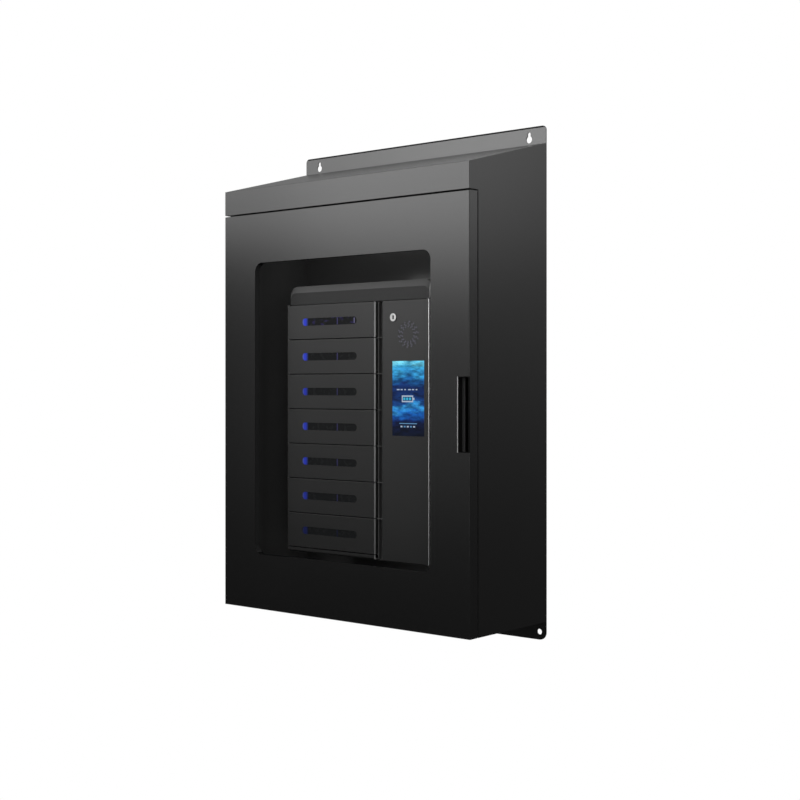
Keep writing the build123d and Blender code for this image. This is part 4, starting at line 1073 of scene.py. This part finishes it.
# The grommet's lip on each side of the sheet is the same, so its outline turns back at this height.
GROMMET_HEIGHT = 7
LIP = ((0, 15.6), (0.5, 16.6), (1.2, 17), (1.9, 16.8), (2.5, 16.2))
UPPER_LIP = [(GROMMET_HEIGHT - distance, radius) for distance, radius in reversed(LIP)]
GROMMET_OUTLINE = in_mm(*LIP, (2.5, 14), (4.5, 14), *UPPER_LIP)
BORE_OUTLINE = in_mm((-1, 10.4), (0, 9.6), (1.2, 9), (5.8, 9), (7, 9.6), (8, 10.4))
grommet_low, grommet_high = corners("cable_grommet")
grommet_foot = (grommet_low + grommet_high) / 2
grommet_foot.z = grommet_low.z
ring = turned("entry_grommet", grommet_foot, GROMMET_OUTLINE, UP, 48)
bore = turned("bore", grommet_foot, BORE_OUTLINE, UP, 48)
fit(coloured(rubber, cut(ring, bore)), "cabinet", "rubber", "cable_grommet")


# ==== Floor, surroundings, lights and camera ====

# The floor fades to the plain background from FADE_START to FADE_END.
FLOOR_RADIUS = 1.3
FLOOR_PLACE = (0, -0.1, -1.35)
FADE_START, FADE_END = 0.6, 0.98 * FLOOR_RADIUS
bpy.ops.mesh.primitive_circle_add(vertices=96, radius=FLOOR_RADIUS, fill_type="NGON", location=FLOOR_PLACE)
floor = new_piece("floor")
floor_finish, tree, shader, place = new_finish("floor_finish", Base_Color=grey(0.82), Roughness=0.9)
rays = new_node(tree, "LightPath").outputs
seen = math_node(tree, "MAXIMUM", rays["Is Camera Ray"], rays["Is Glossy Ray"])
seen = math_node(tree, "MAXIMUM", seen, rays["Is Transmission Ray"])
distance = new_node(tree, "VectorMath", Vector=stretched(tree, place, (1, 1, 0)))
distance.operation = "LENGTH"
edge = spread(tree, distance.outputs["Value"], FADE_START, FADE_END)
fade = new_node(tree, "MixShader", Fac=math_node(tree, "MULTIPLY", seen, edge))
fill(fade.inputs[1], shader.outputs["BSDF"])
fill(fade.inputs[2], new_node(tree, "Emission").outputs["Emission"])
put(tree.nodes["Material Output"], Surface=fade.outputs["Shader"])
floor.data.materials.append(floor_finish)

# Level of the surroundings against height: (sine of the elevation, level).
SKY = (
    (-1.0, 0.12), (-0.25, 0.04), (-0.08, 0.07), (-0.02, 0.18), (0.04, 0.33),
    (0.1, 0.26), (0.2, 0.32), (0.3, 0.45), (0.5, 0.55), (1.0, 0.6),
)
SKY_SCALE = 4.0
# The surroundings fall to a share of that level towards the left, between two sines of the bearing.
LEFT_SHARE, LEFT_START, LEFT_END = 0.55, -0.58, -0.76
# Glossy surfaces show white surroundings from the first of these sines of the elevation, wholly from the
# second. The dark coats would turn pale if they showed them at eye level too.
MIRRORED_FROM, MIRRORED_WHOLE = 0.5, 0.9

world = bpy.data.worlds.new("studio")
bpy.context.scene.world = world
world.use_nodes = True
tree = world.node_tree
direction = new_node(tree, "TexCoord").outputs["Generated"]
height = axis_value(tree, direction, "Z")
stops = [((sine + 1) / 2, grey(level / SKY_SCALE)) for sine, level in SKY]
level = ramp(tree, spread(tree, height, -1.0, 1.0), stops)
lit_side = spread(tree, axis_value(tree, direction, "X"), LEFT_END, LEFT_START, LEFT_SHARE, 1.0)
surroundings = scaled(tree, level, math_node(tree, "MULTIPLY", lit_side, SKY_SCALE))
rays = new_node(tree, "LightPath").outputs
seen = math_node(tree, "MAXIMUM", rays["Is Camera Ray"], rays["Is Transmission Ray"])
overhead = spread(tree, height, MIRRORED_FROM, MIRRORED_WHOLE)
seen = math_node(tree, "MAXIMUM", seen, math_node(tree, "MULTIPLY", rays["Is Glossy Ray"], overhead))
put(tree.nodes["Background"], Color=blend_colours(tree, seen, surroundings, grey(1.0)))


def soft_box(name, place, aim, width, height, level):
    """A rectangular light of an even level, pointed at a place."""
    lamp = bpy.data.lights.new(name, "AREA")
    lamp.shape = "RECTANGLE"
    lamp.size, lamp.size_y = width, height
    lamp.energy = level * math.pi * width * height
    stand = bpy.data.objects.new(name, lamp)
    bpy.context.scene.collection.objects.link(stand)
    stand.visible_camera = False
    stand.location = place
    stand.rotation_euler = (Vector(aim) - Vector(place)).to_track_quat("-Z", "Y").to_euler()


# Each lamp's name, place, aim, width, height and level.
LAMPS = (
    ("key_light", (-0.68, -1.48, 0.94), (-0.08, -0.17, 0.67), 2.2, 0.95, 2.8),
    ("key_right", (-0.4, -1.6, 0.8), (0.2, -0.29, 0.53), 1.55, 0.95, 1.9),
    ("side_light", (2.6, 1.8, 1.4), (0, -0.1, 0), 2.0, 1.7, 1.4),
    ("fill_light", (2.3, -1.9, 0.5), (-0.2, -0.2, 0), 1.6, 2.0, 2.0),
    ("front_light", (-1.5, -2.6, 0.05), (0.1, -0.2, 0), 1.4, 1.0, 0.35),
    ("inner_light", (-0.09, -0.17, 0.36), (-0.09, -0.04, 0.1), 0.4, 0.03, 4.0),
    ("lower_light", (0.1, -0.12, -0.42), (0.05, 0.0, -0.4), 0.2, 0.02, 2.2),
    ("cap_light", (0.015, -0.012, 0.226), (0.015, -0.003, 0.236), 0.06, 0.006, 1.8),
)
for lamp in LAMPS:
    soft_box(*lamp)

# The camera looks level, so that upright edges stay upright.
CAMERA_PLACE, CAMERA_BEARING = (1.9047, -2.3554, -0.0061), 39.734
SENSOR_WIDTH, FOCAL_LENGTH, SHIFT = 36.0, 61.55, -0.0178
camera_data = bpy.data.cameras.new("camera")
camera_data.sensor_width, camera_data.lens, camera_data.shift_y = SENSOR_WIDTH, FOCAL_LENGTH, SHIFT
camera = bpy.data.objects.new("camera", camera_data)
bpy.context.scene.collection.objects.link(camera)
camera.location = CAMERA_PLACE
camera.rotation_euler = (math.radians(90), 0, math.radians(CAMERA_BEARING))
bpy.context.scene.camera = camera
bpy.context.scene.view_settings.view_transform = "Standard"
